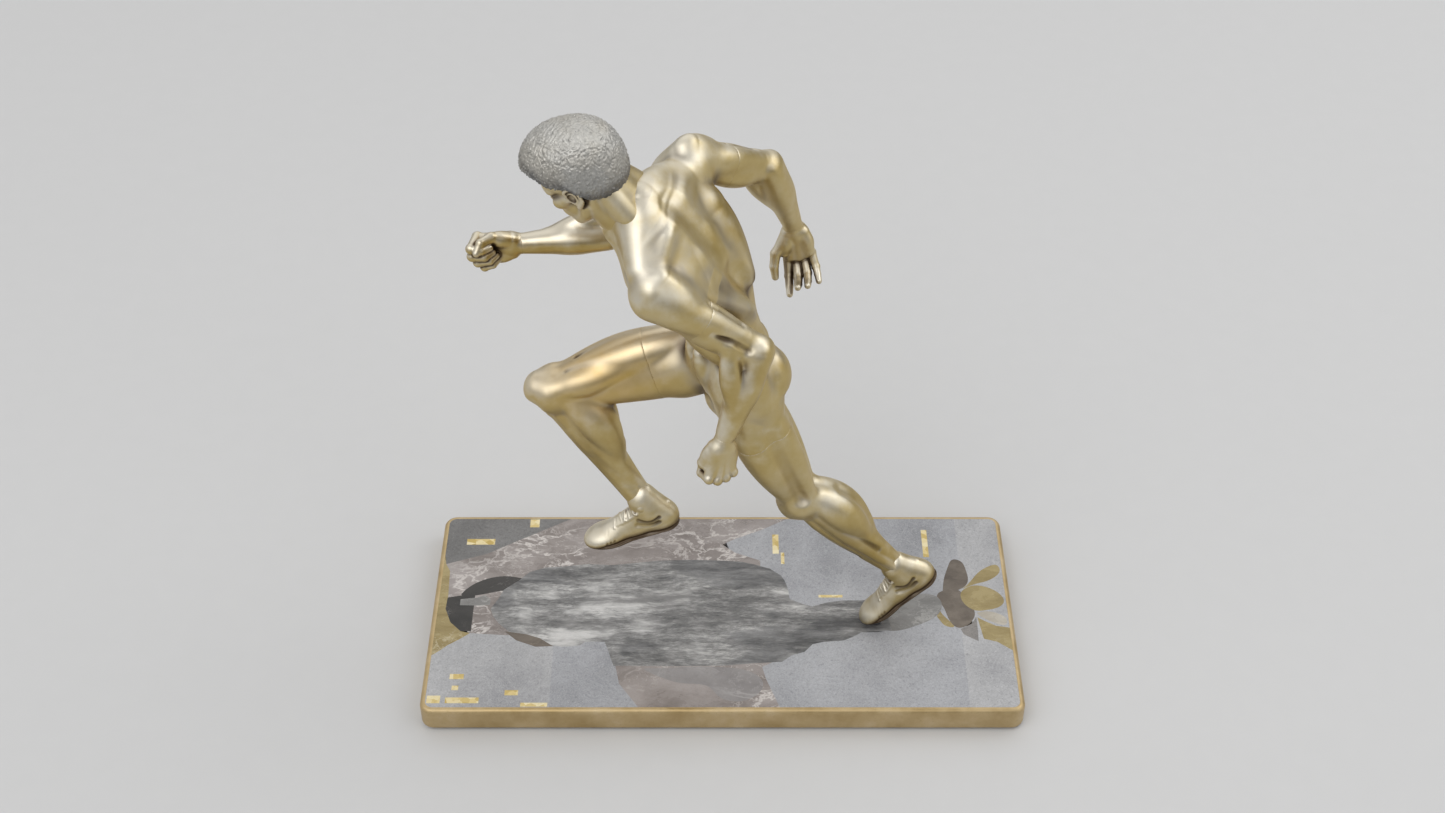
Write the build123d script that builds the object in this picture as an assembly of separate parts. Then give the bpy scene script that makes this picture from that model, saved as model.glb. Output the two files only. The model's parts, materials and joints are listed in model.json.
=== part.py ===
from build123d import *
import math
import os

# Figure trophy: a sprinting athlete cast in bronze sections, standing on the toe
# of the trailing shoe, on a shallow plinth whose top is an inlay of cut stones.
# Millimetres. +Z up, the athlete runs towards -X.
# Origin: centre of the felt's underside, where the trophy rests.

# ---------------------------------------------------------------- driving sizes
PLINTH_L = 360.0          # plinth length, X
PLINTH_W = 162.6          # plinth width, Y
FELT_T = 1.5              # felt sheet under the plinth
PLINTH_H = 16.0           # edge frame height
FRAME_W = 3.2             # wall of the gilt edge frame
CORNER_R = 8.0            # plan corner radius
EDGE_R = 2.8              # rounding of the frame's outer top edge
INLAY_T = 5.0             # thickness of the inlaid stones
TOP = FELT_T + PLINTH_H   # height of the inlay's top face
CORE_FIT = 0.1            # gap between core slab and frame

STUD_R = 2.5              # M5 stud, shank radius as plain cylinder
STUD_XY = (95.0, -10.5)   # under the ball of the planted shoe
DOWEL_R = 1.5             # anti-turn dowel
DOWEL_XY = (89.2, -8.6)
CLEAR_R = 0.25            # radial clearance of stud and dowel in the stones
NUT_AF = 8.0              # across flats, M5
NUT_H = 4.0
WASHER_R, WASHER_T = 5.0, 1.0
CBORE_R, CBORE_D = 7.0, 6.2

SPIGOT_CLEAR = 0.10       # radial clearance of a section joint's spigot
SPIGOT_END = 0.4          # end gap in the socket
PIN_R = 0.8               # cross pins of the section joints

os.makedirs("parts", exist_ok=True)


def save(name, shape):
    solids = shape.solids()
    out = solids[0] if len(solids) == 1 else Compound(children=list(solids))
    export_step(out, f"parts/{name}.step")


# ------------------------------------------------------------- vector helpers
def v(p):
    return Vector(*p)


def up(p):
    """A point given above the inlay's top face, moved to the row frame."""
    return (p[0], p[1], p[2] + TOP)


def unit(a):
    return a / a.length


def mix(a, b, t):
    return a + (b - a) * t


def section(centre, axis, ref, r_side, r_front):
    """An elliptical face at centre, square to axis; ref is the side direction."""
    axis = unit(axis)
    side = ref - axis * ref.dot(axis)
    pl = Plane(origin=centre, x_dir=unit(side), z_dir=axis)
    return pl * Ellipse(r_side, r_front)


def tube(secs, ruled=False):
    """A loft through (centre, axis, side reference, side radius, front radius)."""
    return loft([section(*s).faces()[0] for s in secs], ruled=ruled)


def ball(c, r):
    return Pos(*c) * Sphere(r)


def rod(p, axis, length, r):
    """A cylinder from p along axis."""
    pl = Plane(origin=p, z_dir=unit(axis))
    return pl * Cylinder(r, length, align=(Align.CENTER, Align.CENTER, Align.MIN))


# ===================================================================== plinth
outer = RectangleRounded(PLINTH_L, PLINTH_W, CORNER_R)
inner = RectangleRounded(PLINTH_L - 2 * FRAME_W, PLINTH_W - 2 * FRAME_W, CORNER_R - FRAME_W)
frame_blank = Pos(0, 0, FELT_T) * extrude(outer, PLINTH_H)
top_edges = frame_blank.faces().sort_by(Axis.Z)[-1].edges()
frame_blank = fillet(top_edges, EDGE_R)
bottom_edges = frame_blank.faces().sort_by(Axis.Z)[0].edges()
frame_blank = fillet(bottom_edges, 1.6)
edge_frame = frame_blank - Pos(0, 0, FELT_T - 1) * extrude(inner, PLINTH_H + 2)
# a ledge inside the frame that the core slab is bonded to
core_plan = RectangleRounded(
    PLINTH_L - 2 * FRAME_W - 2 * CORE_FIT, PLINTH_W - 2 * FRAME_W - 2 * CORE_FIT, CORNER_R - FRAME_W - CORE_FIT
)
core_h = PLINTH_H - INLAY_T
core_slab = Pos(0, 0, FELT_T) * extrude(core_plan, core_h)
sx, sy = STUD_XY
dx, dy = DOWEL_XY
core_slab -= Pos(sx, sy, FELT_T - 1) * Cylinder(
    STUD_R + CLEAR_R, core_h + 2, align=(Align.CENTER, Align.CENTER, Align.MIN)
)
core_slab -= Pos(sx, sy, FELT_T - 1) * Cylinder(CBORE_R, CBORE_D + 1, align=(Align.CENTER, Align.CENTER, Align.MIN))
core_slab -= Pos(dx, dy, TOP - INLAY_T - 5.0) * Cylinder(
    DOWEL_R + CLEAR_R, 6.0, align=(Align.CENTER, Align.CENTER, Align.MIN)
)
felt_plan = RectangleRounded(PLINTH_L - 5.0, PLINTH_W - 5.0, CORNER_R - 2.5)
felt_sheet = extrude(felt_plan, FELT_T)

save("edge_frame", edge_frame)
save("core_slab", core_slab)
save("felt_sheet", felt_sheet)

# ------------------------------------------------------------- stone inlay
FIELD_X = PLINTH_L / 2 - FRAME_W
FIELD_Y = PLINTH_W / 2 - FRAME_W


def poly(pts):
    return make_face(Polyline(*[(x, y) for x, y in pts], close=True))


def curve(pts):
    return make_face(Spline(*[(x, y) for x, y in pts], periodic=True))


def rect(x0, y0, x1, y1):
    return poly([(x0, y0), (x1, y0), (x1, y1), (x0, y1)])


# Outlines in the plinth's plan. Earlier pieces keep their whole outline and
# later ones are cut around them.
TESSERAE = [
    (-164, 55, -146, 60), (-124.5, 70.5, -118.5, 77.6), (32, 47, 36, 64), (37.2, 38, 39.4, 48),
    (-164, -56.5, -155.5, -52.5), (-162, -65, -158, -61.5), (-176, -75, -168, -69.2),
    (-165, -75, -145, -70.6), (-130, -69, -122, -65), (-120, -77.6, -104, -74.6), (128, 44, 131.6, 68),
    (60, 9.4, 75, 11.6),
]
RELIEF = [
    (-144, 0), (-140, 8), (-137, 16), (-128, 24), (-122, 31), (-112, 35), (-100, 36), (-85, 38), (-70, 37),
    (-55, 39), (-40, 41), (-20, 41.6), (0, 41), (12, 40), (22, 37), (30, 34), (37, 28), (39, 24), (41, 17),
    (42, 8), (50, 4), (56, 2), (64, 5), (75, 7), (86, 7), (100, 8.5), (104, -17.5), (95, -18.5), (86, -19),
    (80, -23), (74, -26), (62, -27), (55, -29), (50, -35), (42, -38), (36, -43), (20, -44), (0, -46),
    (-30, -46.4), (-66, -46), (-69, -36), (-72, -27), (-84, -27), (-87, -30), (-98, -31), (-104, -30),
    (-112, -24), (-120, -21), (-131, -19), (-138, -12), (-142, -6),
]
OUTLINES = [
    ("foot_disc", "stone_mist", curve([(100, 8.5), (112, 10.5), (124, 12.5), (134, 10), (136.4, 2), (130, -8), (118, -14.5), (104, -18.2), (94, -14), (92, 0)])),
    ("petal_umber_upper", "stone_umber", curve([(138, 15.6), (139.5, 25), (143, 36), (147, 42), (150.6, 41), (154, 33), (154.6, 24), (150, 17)])),
    ("petal_ochre_upper", "stone_ochre", curve([(151, 17.4), (156, 23), (162, 31), (168, 35.6), (174, 37), (175.5, 34), (172, 27), (164, 22.4), (157, 20)])),
    ("petal_ochre_right", "stone_ochre", curve([(150.6, 15.6), (160, 19.6), (168, 17), (174, 11.5), (175.4, 6), (171, 1), (164, -1), (157.6, -1.5)])),
    ("petal_umber_centre", "stone_umber", curve([(137, 14.6), (148.6, 15), (153.6, 6), (156.4, -3), (153, -11.5), (145, -15.6), (140, -9), (137, 2)])),
    ("petal_ochre_lower", "stone_ochre", curve([(135.6, -0.5), (138.6, -8), (142.4, -15), (138, -14.4), (134, -9), (133.4, -3)])),
    ("petal_cream", "stone_cream", curve([(158.4, -3), (165, -2.2), (171, -4), (175.6, -8.6), (174.6, -13), (168, -11.6), (161.4, -7.6)])),
    ("petal_ochre_corner", "stone_ochre", poly([(157.6, -7), (162, -10.2), (168.5, -14), (176.8, -15.5), (176.8, -34), (168, -27), (160, -24.5)])),
    ("petal_grey", "stone_basalt", poly([(153.6, -12.4), (157, -6.6), (157, -18), (156.6, -26.5), (148, -21), (146.4, -16.6)])),
    ("leaf_black", "stone_black", curve([(-163, 13), (-155, 21.6), (-144, 26.6), (-135, 27.4), (-124, 25), (-114, 22.6), (-106, 20.4), (-116, 17), (-126, 15), (-138, 15), (-150, 12)])),
    ("chip_mist", "stone_mist", poly([(-163.4, 3), (-163.4, 8), (-153, 9.4), (-148.4, 11.6), (-144.5, 8), (-144.8, 3.4), (-150, 2.6)])),
    ("slab_black", "stone_black", poly([(-171.6, 9.4), (-164, 11), (-154.6, 11.6), (-154.6, -18.4), (-161, -18.4), (-168, -11), (-172, 0)])),
    ("gold_shore", "stone_ochre", poly([(-FIELD_X, 46), (-175.4, 38), (-172.4, 32), (-171.4, 10), (-172, 0), (-168, -11), (-161, -18.4), (-155, -20), (-161, -25), (-168, -30), (-172, -34), (-FIELD_X, -38)])),
    ("cloud_slate", "stone_slate", curve([(-46, -48), (-25, -47.2), (5, -47.6), (19, -52), (24.4, -60), (20, -69), (8, -73.6), (-2, -70), (-8, -62.6), (-20, -60), (-33, -57)])),
    ("marble_front", "stone_marble", poly([(-66, -40), (36, -40), (24, -47), (26, -56), (34, -FIELD_Y), (-50, -FIELD_Y), (-62, -60)])),
    ("leaf_umber", "stone_umber", poly([(-134, -18.5), (-120, -20.5), (-112, -23.5), (-103, -30.5), (-114, -31), (-126, -26)])),
    ("marble_back", "stone_marble", poly([(-175.4, 38), (-150, 47), (-132, 58), (-112, 70), (-98, FIELD_Y), (42, FIELD_Y), (25, 68), (8, 60), (0, 55), (8, 48), (24, 41), (24, 20), (-110, 10), (-128, -22), (-156, -20), (-172.4, 10)])),
    ("granite_back_left", "stone_granite_dark", poly([(-FIELD_X, 30), (-FIELD_X, FIELD_Y), (-96, FIELD_Y), (-112, 60), (-150, 40)])),
    ("granite_right_back", "stone_granite_pale", poly([(150.2, 10), (150.2, FIELD_Y), (FIELD_X, FIELD_Y), (FIELD_X, -20), (156, -20)])),
    ("granite_back", "stone_granite", poly([(-4, FIELD_Y), (150.2, FIELD_Y), (150.2, -20), (100, -19.2), (20, 0)])),
    ("granite_left", "stone_granite_pale", poly([(-FIELD_X, -20), (-103, -15), (-103, -FIELD_Y), (-FIELD_X, -FIELD_Y)])),
    ("granite_left_inner", "stone_granite", poly([(-103, -15), (-60, -15), (-44, -FIELD_Y), (-103, -FIELD_Y)])),
    ("granite_right_front", "stone_granite_pale", poly([(147, -19), (FIELD_X, -19), (FIELD_X, -FIELD_Y), (147, -FIELD_Y)])),
    ("granite_front", "stone_granite", poly([(20, -19.2), (147, -19.2), (147, -FIELD_Y), (20, -FIELD_Y)])),
]
field = RectangleRounded(2 * FIELD_X - 0.1, 2 * FIELD_Y - 0.1, CORNER_R - FRAME_W - 0.05)
taken = Sketch() + [rect(*t) for t in TESSERAE]
z_inlay = TOP - INLAY_T
tess = extrude(Pos(0, 0, z_inlay) * taken, INLAY_T)
save("gold_tesserae", tess)
relief_plan = poly(RELIEF) - taken
relief = extrude(Pos(0, 0, z_inlay) * relief_plan, INLAY_T)
relief -= Pos(sx, sy, z_inlay - 1) * Cylinder(STUD_R + CLEAR_R, INLAY_T + 2, align=(Align.CENTER, Align.CENTER, Align.MIN))
relief -= Pos(dx, dy, z_inlay - 1) * Cylinder(DOWEL_R + CLEAR_R, INLAY_T + 2, align=(Align.CENTER, Align.CENTER, Align.MIN))
save("ground_relief", relief)
taken = taken + relief_plan
for name, slot, face in OUTLINES:
    plan = (face & field) - taken
    keep = [f for f in plan.faces() if f.area > 3.0]
    taken = taken + keep
    tile = Compound(children=[extrude(Pos(0, 0, z_inlay) * f, INLAY_T) for f in keep]) if len(keep) > 1 else extrude(Pos(0, 0, z_inlay) * keep[0], INLAY_T)
    save(name, tile)
left_over = field - taken
print("field left open, mm2:", round(sum(f.area for f in left_over.faces()), 1), [round(f.area, 1) for f in left_over.faces()])

# ============================================================ athlete, bronze
# Joint centres, above the inlay's top face. Left side is -Y, right side +Y.
HIP_L, KNEE_L, ANKLE_L = (10.7, -18.0, 197.0), (46.6, -12.6, 110.3), (109.0, -7.5, 41.0)
HIP_R, KNEE_R, ANKLE_R = (-7.0, 18.0, 199.0), (-97.6, 10.0, 173.5), (-47.3, -4.9, 93.5)
SHO_L, ELB_L, WRI_L, FIST_L = (-28.5, -41.2, 284.0), (18.5, -36.0, 241.0), (0.0, -50.0, 188.5), (-1.0, -53.0, 173.0)
SHO_R = (-17.1, 41.2, 306.0)
ELB_F, WRI_F, FIST_F = (-63.6, 44.0, 258.5), (-118.0, 36.0, 257.5), (-129.0, 35.0, 256.0)
ELB_B, WRI_B, TIP_B = (26.3, 73.2, 280.4), (38.7, 82.0, 232.0), (47.0, 80.0, 192.0)
NECK_C, HEAD_C = (-41.0, 0.0, 314.0), (-68.5, 0.0, 331.0)
HEAD_UP = (-0.54, 0.0, 0.84)

THIGH_R = (19.0, 20.5, 18.5, 14.0, 12.5)     # half widths down the thigh
SHANK_R = (11.5, 12.0, 13.5, 10.0, 7.6)      # half widths down the shank
UPPER_ARM_R = (12.0, 11.5, 10.5, 8.6)
FOREARM_R = (9.0, 9.6, 8.0, 6.4)
SHOE_L = 58.0                                # length of a shoe
HEEL_BACK = 15.0                             # heel's back behind the ankle
SOLE_DROP = 17.5                             # ankle centre to the sole's face


def limb(a, b, c, start, radii_ab, radii_bc, flat=1.0, end_back=0.0):
    """Two castings of one limb a-b-c, parted on the mitre plane at b."""
    A, B, C = v(up(a)), v(up(b)), v(up(c))
    d1, d2 = unit(B - A), unit(C - B)
    bend = unit(d1.cross(d2))
    mitre = unit(d1 + d2)
    cosh = d1.dot(mitre)
    S = A + d1 * start
    E = C - d2 * end_back
    joint_side = (radii_ab[-1] + radii_bc[0]) / 2
    n = len(radii_ab)
    secs1 = []
    for i, r in enumerate(radii_ab[:-1]):
        secs1.append((S + (B - S) * (i / (n - 1) * 0.96), d1, bend, r * flat, r))
    secs1.append((B, mitre, bend, joint_side, joint_side / cosh))
    m = len(radii_bc)
    secs2 = [(B, mitre, bend, joint_side, joint_side / cosh)]
    for i, r in enumerate(radii_bc[1:], start=1):
        t = i / (m - 1)
        if i == 1:
            t = max(t, 1.3 * joint_side * math.tan(math.acos(min(1.0, cosh))) / (E - B).length)
        secs2.append((B + (E - B) * t, d2, bend, r * flat, r))
    sharp = cosh < 0.75
    return tube(secs1, sharp), tube(secs2, sharp), (S, d1), (B, mitre), (E, d2)


thigh_left, shank_left, hipL, kneL, ankL = limb(HIP_L, KNEE_L, ANKLE_L, 13.0, THIGH_R[:4] + (12.0,), (12.0, 13.0, 12.0, 7.8), 0.95, 5.0)
thigh_right, shank_right, hipR, kneR, ankR = limb(HIP_R, KNEE_R, ANKLE_R, 15.0, THIGH_R[:4] + (12.0,), (12.0, 13.0, 11.0, 7.8), 0.95, 5.0)
upper_arm_left, forearm_left, shoL, elbL, wriL = limb(SHO_L, ELB_L, WRI_L, 11.5, (11.6, 11.2, 9.6, 8.4), (8.4, 9.4, 6.4), 0.95, 0.0)
upper_arm_fore, forearm_fore, shoF, elbF, wriF = limb(SHO_R, ELB_F, WRI_F, 12.5, (11.6, 11.2, 9.6, 8.4), (8.4, 9.4, 6.4), 0.95, 0.0)
upper_arm_back, forearm_back, shoB, elbB, wriB = limb(SHO_R, ELB_B, WRI_B, 12.5, (11.6, 11.0, 9.4, 8.4), (8.4, 9.2, 6.4), 0.95, 0.0)

# torso: pelvis, waist, ribcage and shoulder girdle
HIP_SIDE = unit(v(HIP_R) - v(HIP_L))
SHO_SIDE = unit(v(SHO_R) - v(SHO_L))


def torso_sec(x, y, z, lean_deg, twist, r_side, r_front):
    lean = math.radians(lean_deg)
    axis = Vector(-math.sin(lean), 0, math.cos(lean))
    side = unit(mix(HIP_SIDE, SHO_SIDE, twist))
    return (v(up((x, y, z))), axis, side, r_side, r_front)


loin = tube([
    torso_sec(7, 0, 176, 0, 0.0, 17, 13),
    torso_sec(6, 0, 190, 2, 0.0, 33, 22),
    torso_sec(3, 0, 206, 8, 0.1, 34, 22),
    torso_sec(-2, 0, 226, 14, 0.3, 28, 18),
    torso_sec(-9, 0, 247, 22, 0.6, 29, 18.5),
    torso_sec(-14, 0, 258, 26, 0.7, 26, 16),
])


def chest_plane(x, z, lean_deg=30.0):
    lean = math.radians(lean_deg)
    axis = Vector(-math.sin(lean), 0, math.cos(lean))
    side = unit(SHO_SIDE - axis * SHO_SIDE.dot(axis))
    return Plane(origin=v(up((x, 0, z))), x_dir=side, z_dir=axis)


chest_base = chest_plane(-9, 247)
chest_rows = [(0, 28.0, 18, 0), (14, 33, 21, 0), (30, 37, 22, 0), (44, 37.5, 20.5, 1), (56, 31, 17, 3), (66, 18, 13, 5)]
torso = chest_base * loft([Pos(0, off, t) * Ellipse(rs, rf) for t, rs, rf, off in chest_rows])
girdle_l, girdle_r = v(up(SHO_L)), v(up(SHO_R))
girdle_rows = [(-0.135, 7.0), (-0.06, 12.2), (0.05, 14.0), (0.3, 15.5), (0.6, 16.0), (0.92, 14.6), (1.05, 13.0), (1.13, 8.0)]
girdle = tube([(mix(girdle_l, girdle_r, t), SHO_SIDE, Vector(0, 0, 1), r, r) for t, r in girdle_rows])
torso += girdle
pelvis = split(loin, bisect_by=chest_base, keep=Keep.BOTTOM)
pelvis += ball(up((14, -14, 192)), 17.0)
pelvis += ball(up((6, 15, 192)), 17.0)

# head and neck
neck_start = v(up((-40.0, 0.0, 301.5)))
neck_dir = unit(v(up((-62.0, 0.0, 325.0))) - neck_start)
neck = tube([
    (neck_start, neck_dir, Vector(0, 1, 0), 14.5, 14.0),
    (neck_start + neck_dir * 14, neck_dir, Vector(0, 1, 0), 13.0, 13.0),
    (neck_start + neck_dir * 30, neck_dir, Vector(0, 1, 0), 13.0, 13.0),
])
hu = unit(v(HEAD_UP))
head_axis = hu


def head_sec(t, shift, r_side, r_front):
    face_dir = Vector(-0.84, 0, -0.54)
    c = v(up(HEAD_C)) + hu * t + face_dir * shift
    return (c, hu, Vector(0, 1, 0), r_side, r_front)


skull = tube([
    head_sec(-28, 13, 6, 6),
    head_sec(-22, 9, 12.5, 13),
    head_sec(-12, 4, 16.5, 19),
    head_sec(0, 0, 18.5, 23.5),
    head_sec(10, -1.5, 18.8, 24),
    head_sec(18, -2, 15.5, 19.5),
    head_sec(23.5, -2, 8, 10),
])
cap_outer = tube([
    head_sec(-19, -7.0, 17.5, 23),
    head_sec(-8, -5.5, 21.0, 26),
    head_sec(2, -4.0, 24.0, 28.5),
    head_sec(12, -3.5, 24.5, 29.5),
    head_sec(22, -3.0, 20.0, 25.5),
    head_sec(29.5, -3.0, 11, 14),
])
# hairline: a slanting plane keeps the brow, cheeks and ears clear
hair_plane = Plane(origin=v(up(HEAD_C)) + Vector(-0.84, 0, -0.54) * 9 + hu * 5, z_dir=unit(hu * 0.62 - Vector(-0.84, 0, -0.54) * 0.78))
cap_outer = split(cap_outer, bisect_by=hair_plane, keep=Keep.TOP)
head_body = skull + neck
hair_cap = cap_outer - head_body
hair_cap = hair_cap.solids().sort_by(SortBy.VOLUME)[-1]

# hands
def fist(centre, along, ref, length, width, depth):
    c = v(up(centre))
    a = unit(v(along))
    return tube([
        (c - a * length * 0.5, a, v(ref), width * 0.40, depth * 0.40),
        (c - a * length * 0.2, a, v(ref), width * 0.50, depth * 0.50),
        (c + a * length * 0.25, a, v(ref), width * 0.50, depth * 0.50),
        (c + a * length * 0.5, a, v(ref), width * 0.36, depth * 0.36),
    ])


def hand_from(wrist, direction, ref, profile):
    """Loft from the wrist seam through (distance, side, front, shift) rows."""
    w, d = wrist
    dd = unit(v(direction))
    rows = [(w, d, v(ref), 6.4 * 0.95, 6.4)]
    for s, rs, rf in profile:
        rows.append((w + dd * s, dd, v(ref), rs, rf))
    return tube(rows)


hand_left = hand_from(wriL, (-0.05, -0.16, -0.98), tuple(unit(v(up(ELB_L)) - v(up(SHO_L))).cross(unit(v(up(WRI_L)) - v(up(ELB_L))))),
                      [(9, 9.5, 10.5), (17, 9.5, 12.5), (24, 7.0, 9.0)])
hand_fore = hand_from(wriF, (-0.99, -0.10, -0.06), tuple(unit(v(ELB_F) - v(SHO_R)).cross(unit(v(WRI_F) - v(ELB_F)))),
                      [(7, 9.5, 10.0), (15, 9.5, 11.5), (22, 7.0, 9.0)])
hand_back = hand_from(wriB, (0.20, -0.05, -0.98), tuple(unit(v(ELB_B) - v(SHO_R)).cross(unit(v(WRI_B) - v(ELB_B)))),
                      [(10, 4.6, 9.0), (20, 4.2, 10.0), (31, 3.6, 7.5), (41, 2.4, 4.0)])


# shoes
def shoe(ankle_c, ankle_seam, toe_dir, dorsum):
    a = v(up(ankle_c))
    t = unit(v(toe_dir))
    n = v(dorsum)
    n = unit(n - t * n.dot(t))
    s = t.cross(n)
    sole0 = a - n * SOLE_DROP

    def sec(x, half_w, h0, h1):
        c = sole0 + t * x + n * ((h0 + h1) / 2)
        return (c, t, s, half_w, (h1 - h0) / 2)

    body = tube([
        sec(-HEEL_BACK, 4.5, 2.5, 12.0),
        sec(-HEEL_BACK + 4, 7.6, 0.3, 16.5),
        sec(-4, 8.4, 0.0, 22.0),
        sec(8, 8.4, 0.6, 20.0),
        sec(20, 8.8, 0.2, 13.5),
        sec(32, 9.6, 0.0, 10.0),
        sec(SHOE_L - HEEL_BACK - 5, 7.6, 0.4, 8.0),
        sec(SHOE_L - HEEL_BACK, 4.0, 1.6, 6.0),
    ])
    p, d = ankle_seam
    column = tube([
        (p, d, s, 7.8 * 0.95, 7.8),
        (p + d * 6, d, s, 7.8, 8.6),
        (p + d * 14, d, s, 7.4, 9.0),
    ])
    return body + column, (t, n, s, sole0)


shoe_left, frL = shoe(ANKLE_L, ankL, (-0.69, -0.05, -0.70), (-0.72, 0.0, 0.69))
shoe_right, frR = shoe(ANKLE_R, ankR, (-0.945, -0.05, -0.31), (-0.31, 0.0, 0.95))
# the planted toe stands flat on the stones
toe_block = Pos(95, -10, TOP - 20) * Box(60, 60, 40, align=(Align.CENTER, Align.CENTER, Align.CENTER))
shoe_left -= toe_block

# neighbouring castings are fitted to each other
pelvis -= thigh_left
pelvis -= thigh_right
pelvis = pelvis.solids().sort_by(SortBy.VOLUME)[-1]
torso -= upper_arm_left
torso -= upper_arm_fore
torso -= upper_arm_back
torso -= forearm_left
torso -= neck
torso -= head_body
torso = torso.solids().sort_by(SortBy.VOLUME)[-1]
head_body -= upper_arm_fore
shoe_left -= shank_left
shoe_right -= shank_right
thigh_left -= thigh_right

# ------------------------------------------------- section joints and fixings
def socket(p, d, r, half):
    """Cavity for a joint dowel centred on a seam."""
    dd = unit(d)
    return rod(p - dd * (half + SPIGOT_END), dd, 2 * (half + SPIGOT_END), r + SPIGOT_CLEAR)


def dowel(p, d, r, half):
    dd = unit(d)
    rodlet = rod(p - dd * half, dd, 2 * half, r)
    return rodlet


waist_seam = (chest_base.origin, chest_base.z_dir)
large_seams = [hipL, hipR, kneL, kneR, waist_seam]
small_seams = [shoL, shoF, shoB, elbL, elbF, elbB, ankL, ankR, (neck_start + neck_dir * 0.5, neck_dir)]
tiny_seams = [wriL, wriF, wriB]
LARGE_R, LARGE_HALF = 4.0, 9.0
SMALL_R, SMALL_HALF = 3.0, 6.0
TINY_R, TINY_HALF = 2.0, 4.5

castings = {
    "pelvis": pelvis, "torso": torso, "head": head_body,
    "thigh_left": thigh_left, "shank_left": shank_left, "shoe_left": shoe_left,
    "thigh_right": thigh_right, "shank_right": shank_right, "shoe_right": shoe_right,
    "upper_arm_left": upper_arm_left, "forearm_left": forearm_left, "hand_left": hand_left,
    "upper_arm_fore": upper_arm_fore, "forearm_fore": forearm_fore, "hand_fore": hand_fore,
    "upper_arm_back": upper_arm_back, "forearm_back": forearm_back, "hand_back": hand_back,
}
PAIRS = [
    (waist_seam, "pelvis", "torso", LARGE_R, LARGE_HALF),
    (hipL, "pelvis", "thigh_left", LARGE_R, LARGE_HALF), (hipR, "pelvis", "thigh_right", LARGE_R, LARGE_HALF),
    (kneL, "thigh_left", "shank_left", LARGE_R, LARGE_HALF), (kneR, "thigh_right", "shank_right", LARGE_R, LARGE_HALF),
    (ankL, "shank_left", "shoe_left", SMALL_R, SMALL_HALF), (ankR, "shank_right", "shoe_right", SMALL_R, SMALL_HALF),
    (shoL, "torso", "upper_arm_left", SMALL_R, SMALL_HALF), (shoF, "torso", "upper_arm_fore", SMALL_R, SMALL_HALF),
    (shoB, "torso", "upper_arm_back", SMALL_R, SMALL_HALF),
    (elbL, "upper_arm_left", "forearm_left", SMALL_R, SMALL_HALF),
    (elbF, "upper_arm_fore", "forearm_fore", SMALL_R, SMALL_HALF),
    (elbB, "upper_arm_back", "forearm_back", SMALL_R, SMALL_HALF),
    (small_seams[-1], "torso", "head", SMALL_R, SMALL_HALF),
    (wriL, "forearm_left", "hand_left", TINY_R, TINY_HALF), (wriF, "forearm_fore", "hand_fore", TINY_R, TINY_HALF),
    (wriB, "forearm_back", "hand_back", TINY_R, TINY_HALF),
]
for (p, d), a, b, r, half in PAIRS:
    hole = socket(p, d, r, half)
    castings[a] = castings[a] - hole
    castings[b] = castings[b] - hole

# stud and anti-turn dowel rise into the planted shoe
STUD_UP = 9.0
DOWEL_UP = 4.5
castings["shoe_left"] -= Pos(sx, sy, TOP - 1) * Cylinder(STUD_R, STUD_UP + 1.4, align=(Align.CENTER, Align.CENTER, Align.MIN))
castings["shoe_left"] -= Pos(dx, dy, TOP - 1) * Cylinder(DOWEL_R, DOWEL_UP + 1.4, align=(Align.CENTER, Align.CENTER, Align.MIN))
for name, shape in castings.items():
    solids = shape.solids().sort_by(SortBy.VOLUME)
    castings[name] = solids[-1]
    save(name, castings[name])
save("hair_cap", hair_cap)
save("joint_dowels_large", Compound(children=[dowel(p, d, LARGE_R, LARGE_HALF) for p, d in large_seams]))
save("joint_dowels_medium", Compound(children=[dowel(p, d, SMALL_R, SMALL_HALF) for p, d in small_seams]))
save("joint_dowels_small", Compound(children=[dowel(p, d, TINY_R, TINY_HALF) for p, d in tiny_seams]))

z_cb = FELT_T + CBORE_D                   # roof of the counterbore
stud_low = FELT_T + 0.6
stud = Pos(sx, sy, stud_low) * Cylinder(STUD_R, TOP + STUD_UP - stud_low, align=(Align.CENTER, Align.CENTER, Align.MIN))
save("mounting_stud", stud)
save("anti_turn_dowel", Pos(dx, dy, TOP - 8.0) * Cylinder(DOWEL_R, 8.0 + DOWEL_UP, align=(Align.CENTER, Align.CENTER, Align.MIN)))
ring = Cylinder(WASHER_R, WASHER_T, align=(Align.CENTER, Align.CENTER, Align.MAX)) - Cylinder(STUD_R + 0.15, 3)
save("plain_washer", Pos(sx, sy, z_cb) * ring)
split_ring = Cylinder(4.4, WASHER_T, align=(Align.CENTER, Align.CENTER, Align.MAX)) - Cylinder(STUD_R + 0.15, 3)
split_ring -= Pos(3.5, 0, 0) * Box(3, 0.8, 4)
save("spring_washer", Pos(sx, sy, z_cb - WASHER_T) * split_ring)
nut = extrude(RegularPolygon(NUT_AF / 2 / math.cos(math.pi / 6), 6), NUT_H)
nut -= Cylinder(STUD_R, 3 * NUT_H)
save("hex_nut", Pos(sx, sy, z_cb - 2 * WASHER_T - NUT_H) * nut)
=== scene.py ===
import json
import math
from concurrent.futures import ThreadPoolExecutor

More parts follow.
